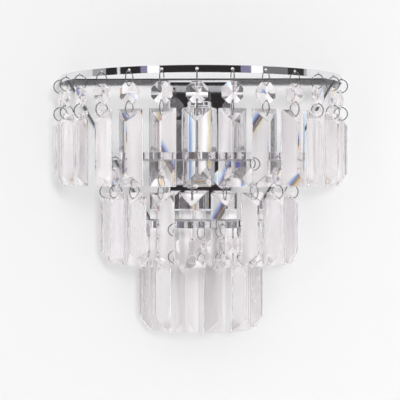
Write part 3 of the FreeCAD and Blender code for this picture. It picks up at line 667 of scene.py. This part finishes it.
def striped_wire_coat():
    """Earth wire insulation: green with a yellow band that winds round it."""
    material, tree, shader, mask = new_finish("striped_wire_coat", **WIRE_COAT)
    winding = {"Vector": object_place(tree), "Scale": STRIPE_SCALE, "Distortion": 0.0}
    bands = add_node(
        tree, "ShaderNodeTexWave", winding, wave_type="BANDS", bands_direction="DIAGONAL"
    )
    edge = share_between(tree, bands.outputs["Fac"], *STRIPE_EDGE)
    stripes = mix_colours(tree, edge, STRIPE_GREEN, STRIPE_YELLOW)
    tree.links.new(mix_colours(tree, mask, stripes, STRIPE_DULL), shader.inputs["Base Color"])
    return material


# Rings

def tier_joints(tier):
    """The joints that a tier's chains swing on, in order."""
    return [joint for joint in frame["joints"] if joint["name"].startswith(tier + "_swing_")]


def chain_place(joint):
    """Where a chain hangs: the band hole's centre, turned so that the room is towards -Y."""
    axis = Vector(joint["axis"])
    turn = math.atan2(-axis.y, -axis.x)
    hole = Vector(joint["pos_m"]) + Vector((0, 0, SWING_BELOW_HOLE))
    return Matrix.Translation(hole) @ Matrix.Rotation(turn, 4, "Z")


def band_heights(tier):
    """A band's lower and upper edge, above and below the holes that its chains hang in."""
    middle = Vector(tier_joints(tier)[0]["pos_m"]).z + SWING_BELOW_HOLE
    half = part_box(tier + "_ring")[1].z - middle
    return middle - half, middle + half


def on_end(part, ends):
    """True for an end vertex, or for an edge between two of them."""
    if isinstance(part, bmesh.types.BMEdge):
        return all(vert in ends for vert in part.verts)
    return isinstance(part, bmesh.types.BMVert)


def sweep_straight(bm, section, along):
    """The section drawn out along a vector."""
    edges = [part for part in section if isinstance(part, bmesh.types.BMEdge)]
    made = bmesh.ops.extrude_edge_only(bm, edges=edges)["geom"]
    ends = [part for part in made if isinstance(part, bmesh.types.BMVert)]
    bmesh.ops.translate(bm, verts=ends, vec=along)
    return [part for part in made if part.is_valid and on_end(part, ends)]


def sweep_bend(bm, section, centre, angle, steps):
    """The section spun round an upright axis."""
    made = bmesh.ops.spin(bm, geom=section, cent=centre, axis=(0, 0, 1), angle=angle, steps=steps)
    return made["geom_last"]


def ring_band(tier):
    """A ring's strip bent into a D, with a round hole for each chain."""
    radius = Vector(tier_joints(tier)[0]["pos_m"]).xy.length + BAND_THICK / 2
    bar_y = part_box(tier + "_ring")[1].y
    inner_y = bar_y - BAND_THICK
    corner_y = bar_y - CORNER_ROUND
    corner_x = math.sqrt((radius - CORNER_ROUND) ** 2 - corner_y ** 2)
    dip = math.atan2(-corner_y, corner_x)
    corner_turn = -(math.pi / 2 + dip)
    low, high = band_heights(tier)
    bm = bmesh.new()
    outline = ((0, bar_y, low), (0, bar_y, high), (0, inner_y, high), (0, inner_y, low))
    section = rounded_outline(bm, outline, BAND_EDGE_ROUND)
    section = sweep_straight(bm, section, (corner_x, 0, 0))
    section = sweep_bend(bm, section, (corner_x, corner_y, 0), corner_turn, CORNER_STEPS)
    section = sweep_bend(bm, section, (0, 0, 0), -(math.pi - 2 * dip), ARC_STEPS)
    section = sweep_bend(bm, section, (-corner_x, corner_y, 0), corner_turn, CORNER_STEPS)
    sweep_straight(bm, section, (corner_x, 0, 0))
    bmesh.ops.bisect_plane(
        bm, geom=everything(bm), plane_co=(0, 0, high - BAR_POLISHED), plane_no=(0, 0, 1)
    )
    mesh = to_mesh(bm, tier + "_band")
    holes = []
    for joint in tier_joints(tier):
        place = chain_place(joint)
        outwards = place.to_3x3() @ Vector((0, -1, 0))
        holes.append((place.translation, outwards, BAND_HOLE, BAND_HOLE_LONG))
    mesh = drilled(mesh, hole_cutter(holes, BAND_HOLE_SIDES))
    shade(mesh, BAND_BREAK)
    return mesh


def satin_inside(mesh, bar_front, bar_high):
    """Gives a band's side that faces into the ring a duller finish, below the bar's polished edge."""
    mesh.materials.append(SATIN)
    for face in mesh.polygons:
        outwards = Vector((face.center.x, face.center.y, 0)).normalized()
        on_bar = face.center.y > bar_front - BAND_THICK / 2
        facing = face.normal.y if on_bar else face.normal.dot(outwards)
        polished = on_bar and face.center.z > bar_high - BAR_POLISHED
        face.material_index = 1 if facing < FACES_IN and not polished else 0


# Chains

def wire_link():
    """A ring of wire in the chain's fore-and-aft plane, with its ends butted at the side."""
    bm = bmesh.new()
    start = Matrix.Rotation(LINK_SPLIT / 2, 4, "X") @ Matrix.Translation((0, LINK_RADIUS, 0))
    bmesh.ops.create_circle(bm, cap_ends=True, segments=WIRE_SIDES, radius=WIRE_RADIUS, matrix=start)
    bmesh.ops.spin(
        bm,
        geom=everything(bm),
        cent=(0, 0, 0),
        axis=(1, 0, 0),
        angle=FULL_TURN - LINK_SPLIT,
        steps=LINK_STEPS,
    )
    return to_mesh(bm, "wire_link")


def cut_flat(bm, point, normal):
    """Everything beyond a plane cut off, and the cut closed with one face."""
    cut = bmesh.ops.bisect_plane(
        bm, geom=everything(bm), plane_co=point, plane_no=normal, clear_outer=True
    )
    edges = [part for part in cut["geom_cut"] if isinstance(part, bmesh.types.BMEdge)]
    bmesh.ops.contextual_create(bm, geom=edges)


def soft_edges(bm, width):
    """Every edge taken off with a narrow flat."""
    bmesh.ops.bevel(
        bm,
        geom=list(bm.edges),
        offset=width,
        segments=1,
        profile=0.5,
        affect="EDGES",
        material=-1,
        clamp_overlap=True,
    )


def bead():
    """An octagon whose two faces rise to four-sided points, the rear one turned by an eighth."""
    bm = bmesh.new()
    to_corner = BEAD_WIDE / 2 / math.cos(math.pi / 8)
    bmesh.ops.create_cone(
        bm,
        cap_ends=True,
        segments=8,
        radius1=to_corner,
        radius2=to_corner,
        depth=BEAD_THICK,
        matrix=Matrix.Rotation(math.pi / 2, 4, "X") @ Matrix.Rotation(math.pi / 8, 4, "Z"),
    )
    slope = (BEAD_THICK / 2 - BEAD_RIM) / (BEAD_WIDE / 2)
    for side, turn in ((-1, 0), (1, math.pi / 4)):
        for quarter in range(4):
            angle = turn + quarter * math.pi / 2
            normal = Vector((slope * math.cos(angle), side, slope * math.sin(angle)))
            cut_flat(bm, (0, side * BEAD_THICK / 2, 0), normal)
    soft_edges(bm, BEAD_EDGE)
    holes = [
        (Vector((0, 0, up)), Vector((0, 1, 0)), BEAD_HOLE, 2 * BEAD_THICK)
        for up in (BEAD_HOLE_OUT, -BEAD_HOLE_OUT)
    ]
    return drilled(to_mesh(bm, "bead"), hole_cutter(holes, BEAD_HOLE_SIDES))


def prism():
    """A slab whose front is drawn out into a hipped roof, hung from a hole under its upper end."""
    bm = bmesh.new()
    middle = Matrix.Translation((0, PRISM_BACK - PRISM_RIM / 2, -PRISM_LONG / 2))
    stretch = Matrix.Diagonal((PRISM_WIDE, PRISM_RIM, PRISM_LONG, 1))
    bmesh.ops.create_cube(bm, size=1, matrix=middle @ stretch)
    bm.faces.ensure_lookup_table()
    front = min(bm.faces, key=lambda face: face.calc_center_median().y)
    roof = bmesh.ops.extrude_discrete_faces(bm, faces=[front])["faces"][0]
    bmesh.ops.translate(bm, verts=roof.verts, vec=(0, -PRISM_RISE, 0))
    ridge_long = PRISM_LONG - 2 * PRISM_HIP
    bmesh.ops.scale(
        bm,
        verts=roof.verts,
        vec=(PRISM_RIDGE / PRISM_WIDE, 1, ridge_long / PRISM_LONG),
        space=Matrix.Translation((0, 0, PRISM_LONG / 2)),
    )
    bmesh.ops.recalc_face_normals(bm, faces=bm.faces)
    soft_edges(bm, PRISM_EDGE)
    hole = (Vector((0, 0, -PRISM_HOLE_DOWN)), Vector((0, 1, 0)), PRISM_HOLE, 8 * PRISM_RISE)
    return drilled(to_mesh(bm, "prism"), hole_cutter([hole], PRISM_HOLE_SIDES))


def chain_links(master, twist):
    """The two links of one chain as one mesh."""
    upper = Matrix.Translation((0, 0, -UPPER_LINK_DOWN))
    lower = Matrix.Translation((0, 0, -LOWER_LINK_DOWN)) @ Matrix.Rotation(twist, 4, "Z")
    return joined_copies(master, (upper, lower), "links", WIRE_BREAK)


def hang_chains():
    """Links, bead and prism of every chain, each riding on its chain's body."""
    link_master = wire_link()
    bead_master = moved_copy(bead(), Matrix.Translation((0, 0, -BEAD_DOWN)))
    prism_master = moved_copy(prism(), Matrix.Translation((0, 0, -PRISM_TOP_DOWN)))
    for tier in TIERS:
        for joint in tier_joints(tier):
            body = joint["child"]
            number = body.rsplit("_", 1)[1]
            place = chain_place(joint)
            link_twist, prism_twist = (math.radians(turn) for turn in TWISTS.get(body, (0, 0)))
            prism_place = place @ Matrix.Rotation(prism_twist, 4, "Z")
            pieces = (
                ("links", moved_copy(chain_links(link_master, link_twist), place), WIRE, "chrome"),
                ("bead", moved_copy(bead_master, place), CRYSTAL, "clear_acrylic"),
                ("prism", moved_copy(prism_master, prism_place), ACRYLIC, "clear_acrylic"),
            )
            for word, mesh, material, slot in pieces:
                name = f"{tier}_{word}_{number}"
                finish_piece(name, mesh, material, body, [f"{tier}_drop_{number}"])


# Lampholder

def holder_axis(node):
    """The place of the lampholder's upright axis, taken from one of its nodes."""
    low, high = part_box(node)
    return Matrix.Translation(((low.x + high.x) / 2, (low.y + high.y) / 2, 0))


def radius_and_ends(node):
    """Half the width of a round node, with its lower and its upper end."""
    low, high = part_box(node)
    return (high.x - low.x) / 2, low.z, high.z


def holder_sleeve():
    """A drawn tube with a rounded shoulder, two rolled grooves and a rolled lip."""
    radius, low, high = radius_and_ends("holder_sleeve")
    inside = radius - SLEEVE_SHEET
    ceiling = high - SLEEVE_SHEET
    profile = [
        (HOLDER_EYE, high), (radius - SLEEVE_SHOULDER, high),
        (radius - SLEEVE_CHAMFER, high - SLEEVE_CHAMFER), (radius, high - SLEEVE_SHOULDER),
    ]
    for down in SLEEVE_GROOVES:
        profile += [(radius - inset, high - down - shift) for shift, inset in GROOVE_SHAPE]
    profile += [(radius, low), (inside, low), (inside, ceiling), (HOLDER_EYE, ceiling)]
    mesh = lathe(profile, SLEEVE_ROUND, "holder_sleeve")
    mesh.transform(holder_axis("holder_sleeve"))
    return mesh


def holder_cap():
    """A turned cap with a bead round its foot and a bevelled upper edge."""
    radius, low, high = radius_and_ends("holder_cap")
    waist = radius - CAP_FOOT_OUT
    profile = [
        (HOLDER_EYE, low), (radius, low), (radius, low + CAP_FOOT_TALL), (waist, low + CAP_WAIST_UP),
        (waist, high - CAP_BEVEL_TALL), (waist - CAP_BEVEL_WIDE, high), (HOLDER_EYE, high),
    ]
    mesh = lathe(profile, CAP_ROUND, "holder_cap")
    mesh.transform(holder_axis("holder_cap"))
    return mesh


def screw_shell():
    """Thin brass with a round thread: one wave of the thread wound up the shell and trimmed."""
    radius, low, high = radius_and_ends("screw_shell")
    bm = bmesh.new()
    wave = []
    for step in range(THREAD_POINTS + 1):
        share = step / THREAD_POINTS
        out = radius - SHELL_SHEET - THREAD_DEEP * (0.5 - 0.5 * math.cos(FULL_TURN * share))
        wave.append(bm.verts.new((out, 0, low - THREAD_PITCH + THREAD_PITCH * share)))
    edges = [bm.edges.new(pair) for pair in zip(wave, wave[1:])]
    turns = math.ceil((high - low) / THREAD_PITCH) + 1
    bmesh.ops.spin(
        bm,
        geom=wave + edges,
        cent=(0, 0, 0),
        axis=(0, 0, 1),
        dvec=(0, 0, THREAD_PITCH / TURN_STEPS),
        angle=turns * FULL_TURN,
        steps=turns * TURN_STEPS,
    )
    bmesh.ops.remove_doubles(bm, verts=bm.verts, dist=MERGE_WITHIN)
    for height, way in ((low, -1), (high, 1)):
        bmesh.ops.bisect_plane(
            bm, geom=everything(bm), plane_co=(0, 0, height), plane_no=(0, 0, way), clear_outer=True
        )
    bmesh.ops.recalc_face_normals(bm, faces=bm.faces)
    bmesh.ops.solidify(bm, geom=list(bm.faces), thickness=SHELL_SHEET)
    mesh = to_mesh(bm, "screw_shell")
    mesh.transform(holder_axis("screw_shell"))
    shade(mesh, WIRE_BREAK)
    return mesh


# Screws

def slotted_screw(head, tall, shank, long):
    """A screw that points down from the origin, with a domed head and a slot across it."""
    profile = [
        (0, 0), (DOME_TOP_WIDE * head, -DOME_TOP_DROP * tall),
        (head, -DOME_EDGE_DROP * tall), (head, -tall), (shank, -tall),
        (shank, -long + SCREW_TIP), (shank - SCREW_TIP, -long), (0, -long),
    ]
    mesh = lathe(profile, SCREW_ROUND, "screw")
    bm = bmesh.new()
    stretch = Matrix.Diagonal((3 * head, SLOT_WIDE * head, tall, 1))
    bmesh.ops.create_cube(bm, size=1, matrix=stretch)
    mesh = drilled(mesh, to_mesh(bm, "slot"))
    shade(mesh, TURNED_BREAK)
    return mesh


def set_screws(node, master, places, material):
    """All the screws of a node as one piece; each place is a point, a direction and a turn in degrees."""
    matrices = []
    for point, outwards, turn in places:
        way = Vector((0, 0, 1)).rotation_difference(Vector(outwards)).to_matrix().to_4x4()
        spun = Matrix.Rotation(math.radians(turn), 4, "Z")
        matrices.append(Matrix.Translation(point) @ way @ spun)
    mesh = joined_copies(master, matrices, node, TURNED_BREAK)
    finish_piece(node + "_slotted", mesh, material, "frame", [node])


def screw_pieces():
    """Side screws, frame screws, earth screw and clamp screws, placed from their nodes."""
    low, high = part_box("cover_screws")
    middle = (low + high) / 2
    side = slotted_screw((high.z - low.z) / 2, COVER_HEAD_TALL, COVER_SHANK, COVER_LONG)
    set_screws("cover_screws", side, (
        ((low.x, middle.y, middle.z), (-1, 0, 0), COVER_TURNS[0]),
        ((high.x, middle.y, middle.z), (1, 0, 0), COVER_TURNS[1]),
    ), CHROME)
    low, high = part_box("frame_screws")
    rear = slotted_screw(FRAME_HEAD, FRAME_HEAD_TALL, FRAME_SHANK, high.y - low.y)
    columns = (low.x + FRAME_HEAD, high.x - FRAME_HEAD)
    rows = (low.z + FRAME_HEAD, high.z - FRAME_HEAD)
    corners = [(x, high.y, z) for x in columns for z in rows]
    places = [(corner, (0, 1, 0), turn) for corner, turn in zip(corners, FRAME_TURNS)]
    set_screws("frame_screws", rear, places, ZINC)
    low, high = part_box("earth_screw")
    middle = (low + high) / 2
    earth = slotted_screw((high.x - low.x) / 2, EARTH_HEAD_TALL, EARTH_SHANK, high.y - low.y)
    places = [((middle.x, low.y, middle.z), (0, -1, 0), EARTH_TURN)]
    set_screws("earth_screw", earth, places, BRASS)
    low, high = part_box("terminal_screws")
    clamp = slotted_screw(CLAMP_RADIUS, CLAMP_HEAD_TALL, CLAMP_RADIUS - CLAMP_NECK, high.y - low.y)
    places = []
    for number, x in enumerate((low.x + CLAMP_RADIUS, (low.x + high.x) / 2, high.x - CLAMP_RADIUS)):
        for z in (low.z + CLAMP_RADIUS, high.z - CLAMP_RADIUS):
            places.append(((x, high.y, z), (0, 1, 0), CLAMP_TURN_ACROSS * number + CLAMP_TURN_UP * z))
    set_screws("terminal_screws", clamp, places, ZINC)


# CAD nodes that show as they are

def soften_nodes(widths):
    """Rounds the edges of nodes."""
    for name, width in widths:
        node = frame["nodes"][name]
        weld = node.modifiers.new("weld", "WELD")
        weld.merge_threshold = WELD_WITHIN
        edges = node.modifiers.new("edges", "BEVEL")
        edges.width = width
        edges.segments = 2
        edges.limit_method = "ANGLE"
        edges.angle_limit = NODE_BREAK
        edges.harden_normals = True


def coat_nodes(finishes):
    """Gives nodes their finishes."""
    for material, names in finishes:
        for name in names:
            mesh = frame["nodes"][name].data
            mesh.materials.clear()
            mesh.materials.append(material)


# Stage: the wall that carries the lamp, a floor, the room's light and the camera

def stage_sheet(name, size, matrix, material):
    """A flat sheet of the stage."""
    bm = bmesh.new()
    bmesh.ops.create_grid(bm, x_segments=1, y_segments=1, size=0.5)
    bmesh.ops.scale(bm, verts=bm.verts, vec=(size[0], size[1], 1))
    bmesh.ops.transform(bm, verts=bm.verts, matrix=matrix)
    mesh = bpy.data.meshes.new(name)
    bm.to_mesh(mesh)
    bm.free()
    mesh.materials.append(material)
    sheet = bpy.data.objects.new(name, mesh)
    bpy.context.scene.collection.objects.link(sheet)
    return sheet


def rod_side(tree, across, up):
    """Distance on the wall from the nearer side rod, positive outwards, in millimetres."""
    low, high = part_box("right_rod")
    lean = Vector((high.z - low.z, low.x - high.x)).normalized()
    offset = lean.x * (high.x - ROD_RADIUS) + lean.y * high.z
    flat = product(tree, worked_out(tree, "ABSOLUTE", across), lean.x)
    both = worked_out(tree, "ADD", flat, product(tree, up, lean.y))
    return worked_out(tree, "DIVIDE", worked_out(tree, "SUBTRACT", both, offset), MM)


def upright_streaks(tree, place):
    """Soft upright streaks of the light that the drops gather on the wall."""
    drawn_out = add_node(tree, "ShaderNodeMapping", {"Vector": place, "Scale": (1, 1, STREAK_SHORTENED)})
    return share_between(tree, noise(tree, drawn_out.outputs[0], STREAK_SCALE, 1.0), *STREAK_RANGE)


def spread_colours(tree, streaks, across, up):
    """The light on the wall as the facets spread it, with a spectrum beside the rods and the plate."""
    beside_rod = share_between(tree, rod_side(tree, across, up), -ROD_SPREAD, ROD_SPREAD)
    by_rods = colour_steps(tree, beside_rod, ROD_FRINGE, "EASE")
    above_end = worked_out(tree, "GREATER_THAN", up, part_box("lower_ring")[0].z)
    by_rods = mix_colours(tree, above_end, WHITE_LIGHT, by_rods)
    across_plate = share_between(tree, across, -PLATE_SPREAD, PLATE_SPREAD)
    by_plate = colour_steps(tree, across_plate, PLATE_FRINGE, "EASE")
    level = worked_out(tree, "LESS_THAN", worked_out(tree, "ABSOLUTE", up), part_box("back_plate")[1].z)
    by_plate = mix_colours(tree, level, WHITE_LIGHT, by_plate)
    spectra = mix_colours(tree, 1.0, by_rods, by_plate, "MULTIPLY")
    gathered = mix_colours(tree, streaks, GATHERED_DIM, GATHERED)
    return mix_colours(tree, 1.0, gathered, spectra, "MULTIPLY")


def wall_paint():
    """Matt pale paint that is clear from behind, so that the lamp's rear can be seen; rays through the
    drops see painted light on it: streaks, spectra and a glow.
    """
    material = bpy.data.materials.new("wall_paint")
    material.use_nodes = True
    tree = material.node_tree
    shader = tree.nodes["Principled BSDF"]
    place = object_place(tree)
    axes = add_node(tree, "ShaderNodeSeparateXYZ", {0: place}).outputs
    streaks = upright_streaks(tree, place)
    spread = spread_colours(tree, streaks, axes["X"], axes["Z"])
    # Painted light: only rays that have passed through a clear piece see the streaks, spectra and glow.
    through = add_node(tree, "ShaderNodeLightPath").outputs["Is Transmission Ray"]
    tree.links.new(mix_colours(tree, through, PALE, spread), shader.inputs["Base Color"])
    aside = worked_out(tree, "ABSOLUTE", axes["X"])
    centre = share_between(tree, aside, GLOW_EDGE, GLOW_EDGE - GLOW_FADE, GLOW)
    above = share_between(tree, axes["Z"], GLOW_LOW, GLOW_LOW + GLOW_FADE)
    glow = product(tree, centre, above, streaks, through)
    tree.links.new(glow, shader.inputs["Emission Strength"])
    shader.inputs["Emission Color"].default_value = WHITE_LIGHT
    shader.inputs["Roughness"].default_value = PAINT_ROUGH
    shader.inputs["Specular IOR Level"].default_value = PAINT_GLOSS
    clear = add_node(tree, "ShaderNodeBsdfTransparent")
    behind = add_node(tree, "ShaderNodeNewGeometry").outputs["Backfacing"]
    either = add_node(
        tree, "ShaderNodeMixShader", {0: behind, 1: shader.outputs[0], 2: clear.outputs[0]}
    )
    tree.links.new(either.outputs[0], tree.nodes["Material Output"].inputs["Surface"])
    return material


def by_degrees(steps):
    """Colour steps given in degrees from straight ahead, as places on a ramp for the full turn."""
    return [((degrees + 180) / 360, colour) for degrees, colour in steps]


def room_light():
    """The room round the lamp: a dark front with bright windows, pale walls, ceiling and floor."""
    world = bpy.data.worlds.new("room")
    bpy.context.scene.world = world
    world.use_nodes = True
    tree = world.node_tree
    tree.nodes.clear()
    towards = add_node(tree, "ShaderNodeTexCoord").outputs["Generated"]
    axes = add_node(tree, "ShaderNodeSeparateXYZ", {0: towards}).outputs
    path = add_node(tree, "ShaderNodeLightPath").outputs
    up = axes["Z"]
    azimuth = worked_out(tree, "ARCTAN2", axes["X"], product(tree, axes["Y"], -1.0))
    turn = share_between(tree, azimuth, -math.pi, math.pi)
    belt = colour_steps(tree, turn, by_degrees(ROOM_BELT))
    glints = colour_steps(tree, turn, by_degrees(GLINTS))
    low_enough = worked_out(tree, "LESS_THAN", up, GLINT_TOP)
    belt = mix_colours(tree, 1.0, belt, mix_colours(tree, low_enough, (*NO_GLINT, 1), glints), "ADD")
    mirrored = product(tree, share_between(tree, up, *LAMPS_ZONE), path["Is Singular Ray"])
    belt = mix_colours(tree, mirrored, belt, colour_steps(tree, turn, by_degrees(LOW_LAMPS)))
    room = mix_colours(tree, share_between(tree, up, *CEILING_ZONE), belt, CEILING)
    room = mix_colours(tree, share_between(tree, up, *GROUND_ZONE), room, GROUND)
    aside = share_between(tree, worked_out(tree, "ABSOLUTE", azimuth), *ASIDE_ZONE, ASIDE_MOST)
    direct = worked_out(tree, "LESS_THAN", path["Diffuse Depth"], UNSCATTERED)
    through = product(tree, path["Is Transmission Ray"], aside, direct)
    seen = mix_colours(tree, through, room, BACKDROP)
    seen = mix_colours(tree, path["Is Camera Ray"], seen, BACKDROP)
    light = add_node(tree, "ShaderNodeBackground", {"Color": seen, "Strength": 1.0})
    add_node(tree, "ShaderNodeOutputWorld", {"Surface": light.outputs[0]})


def key_light():
    """A large soft lamp above the camera and to its right."""
    data = bpy.data.lights.new("key_light", "AREA")
    data.shape = "SQUARE"
    data.size = KEY_WIDE
    data.energy = KEY_POWER
    lamp = bpy.data.objects.new("key_light", data)
    lamp.location = KEY_AT
    lamp.rotation_euler = Vector(KEY_AT).to_track_quat("Z", "Y").to_euler()
    lamp.visible_glossy = False
    lamp.visible_transmission = False
    bpy.context.scene.collection.objects.link(lamp)


def set_stage():
    """Wall, floor, light and camera."""
    paint = wall_paint()
    upright = Matrix.Translation((0, WALL_GAP, 0)) @ Matrix.Rotation(math.pi / 2, 4, "X")
    wall = stage_sheet("wall", (WALL_WIDE, WALL_TALL), upright, paint)
    wall.visible_diffuse = False
    wall.visible_shadow = False
    floor_at = Matrix.Translation((0, -WALL_WIDE / 4, -FLOOR_DOWN))
    stage_sheet("floor", (WALL_WIDE, WALL_WIDE), floor_at, paint)
    room_light()
    key_light()
    camera_data = bpy.data.cameras.new("camera")
    camera_data.lens = CAMERA_LENS
    camera = bpy.data.objects.new("camera", camera_data)
    camera.location = CAMERA_AT
    camera.rotation_euler = (math.pi / 2 - CAMERA_DOWN, 0, CAMERA_LEFT)
    bpy.context.scene.collection.objects.link(camera)
    bpy.context.scene.camera = camera
    bpy.context.scene.view_settings.view_transform = "Standard"


BROWN_COAT = plastic("brown_wire_coat", (0.2, 0.085, 0.04, 1), (0.28, 0.14, 0.08, 1), **WIRE_COAT)
BLUE_COAT = plastic("blue_wire_coat", (0.05, 0.16, 0.48, 1), (0.1, 0.22, 0.5, 1), **WIRE_COAT)
coat_nodes((
    (CHROME, ("lamp_arm", "arm_collar", "back_plate")),
    (WIRE, ("left_rod", "right_rod")),
    (ZINC, ("wall_bracket", "fixing_posts", "arm_nut")),
    (BRASS, ("centre_contact", "terminal_tubes")),
    (BLACK, ("holder_elbow",)),
    (WHITE, ("holder_body", "terminal_block")),
    (RUBBER, ("cable_grommet",)),
    (BROWN_COAT, ("live_wire",)),
    (BLUE_COAT, ("neutral_wire",)),
    (striped_wire_coat(), ("earth_wire",)),
))
soften_nodes((
    ("back_plate", 0.25 * MM),
    ("wall_bracket", 0.2 * MM),
    ("arm_collar", 0.2 * MM),
    ("arm_nut", 0.3 * MM),
    ("holder_elbow", 0.35 * MM),
    ("terminal_block", 0.3 * MM),
    ("holder_body", 0.3 * MM),
    ("fixing_posts", 0.2 * MM),
    ("lamp_arm", 0.15 * MM),
))
hang_chains()
finish_piece("sleeve_drawn", holder_sleeve(), CHROME, "frame", ["holder_sleeve"])
finish_piece("cap_turned", holder_cap(), CHROME, "frame", ["holder_cap"])
finish_piece("shell_threaded", screw_shell(), BRASS, "frame", ["screw_shell"])
screw_pieces()
for tier_name in TIERS:
    ring_node = tier_name + "_ring"
    band = finish_piece(tier_name + "_band", ring_band(tier_name), CHROME, "frame", [ring_node])
    bar_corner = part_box(ring_node)[1]
    satin_inside(band.data, bar_corner.y - BAND_THICK, bar_corner.z)
set_stage()
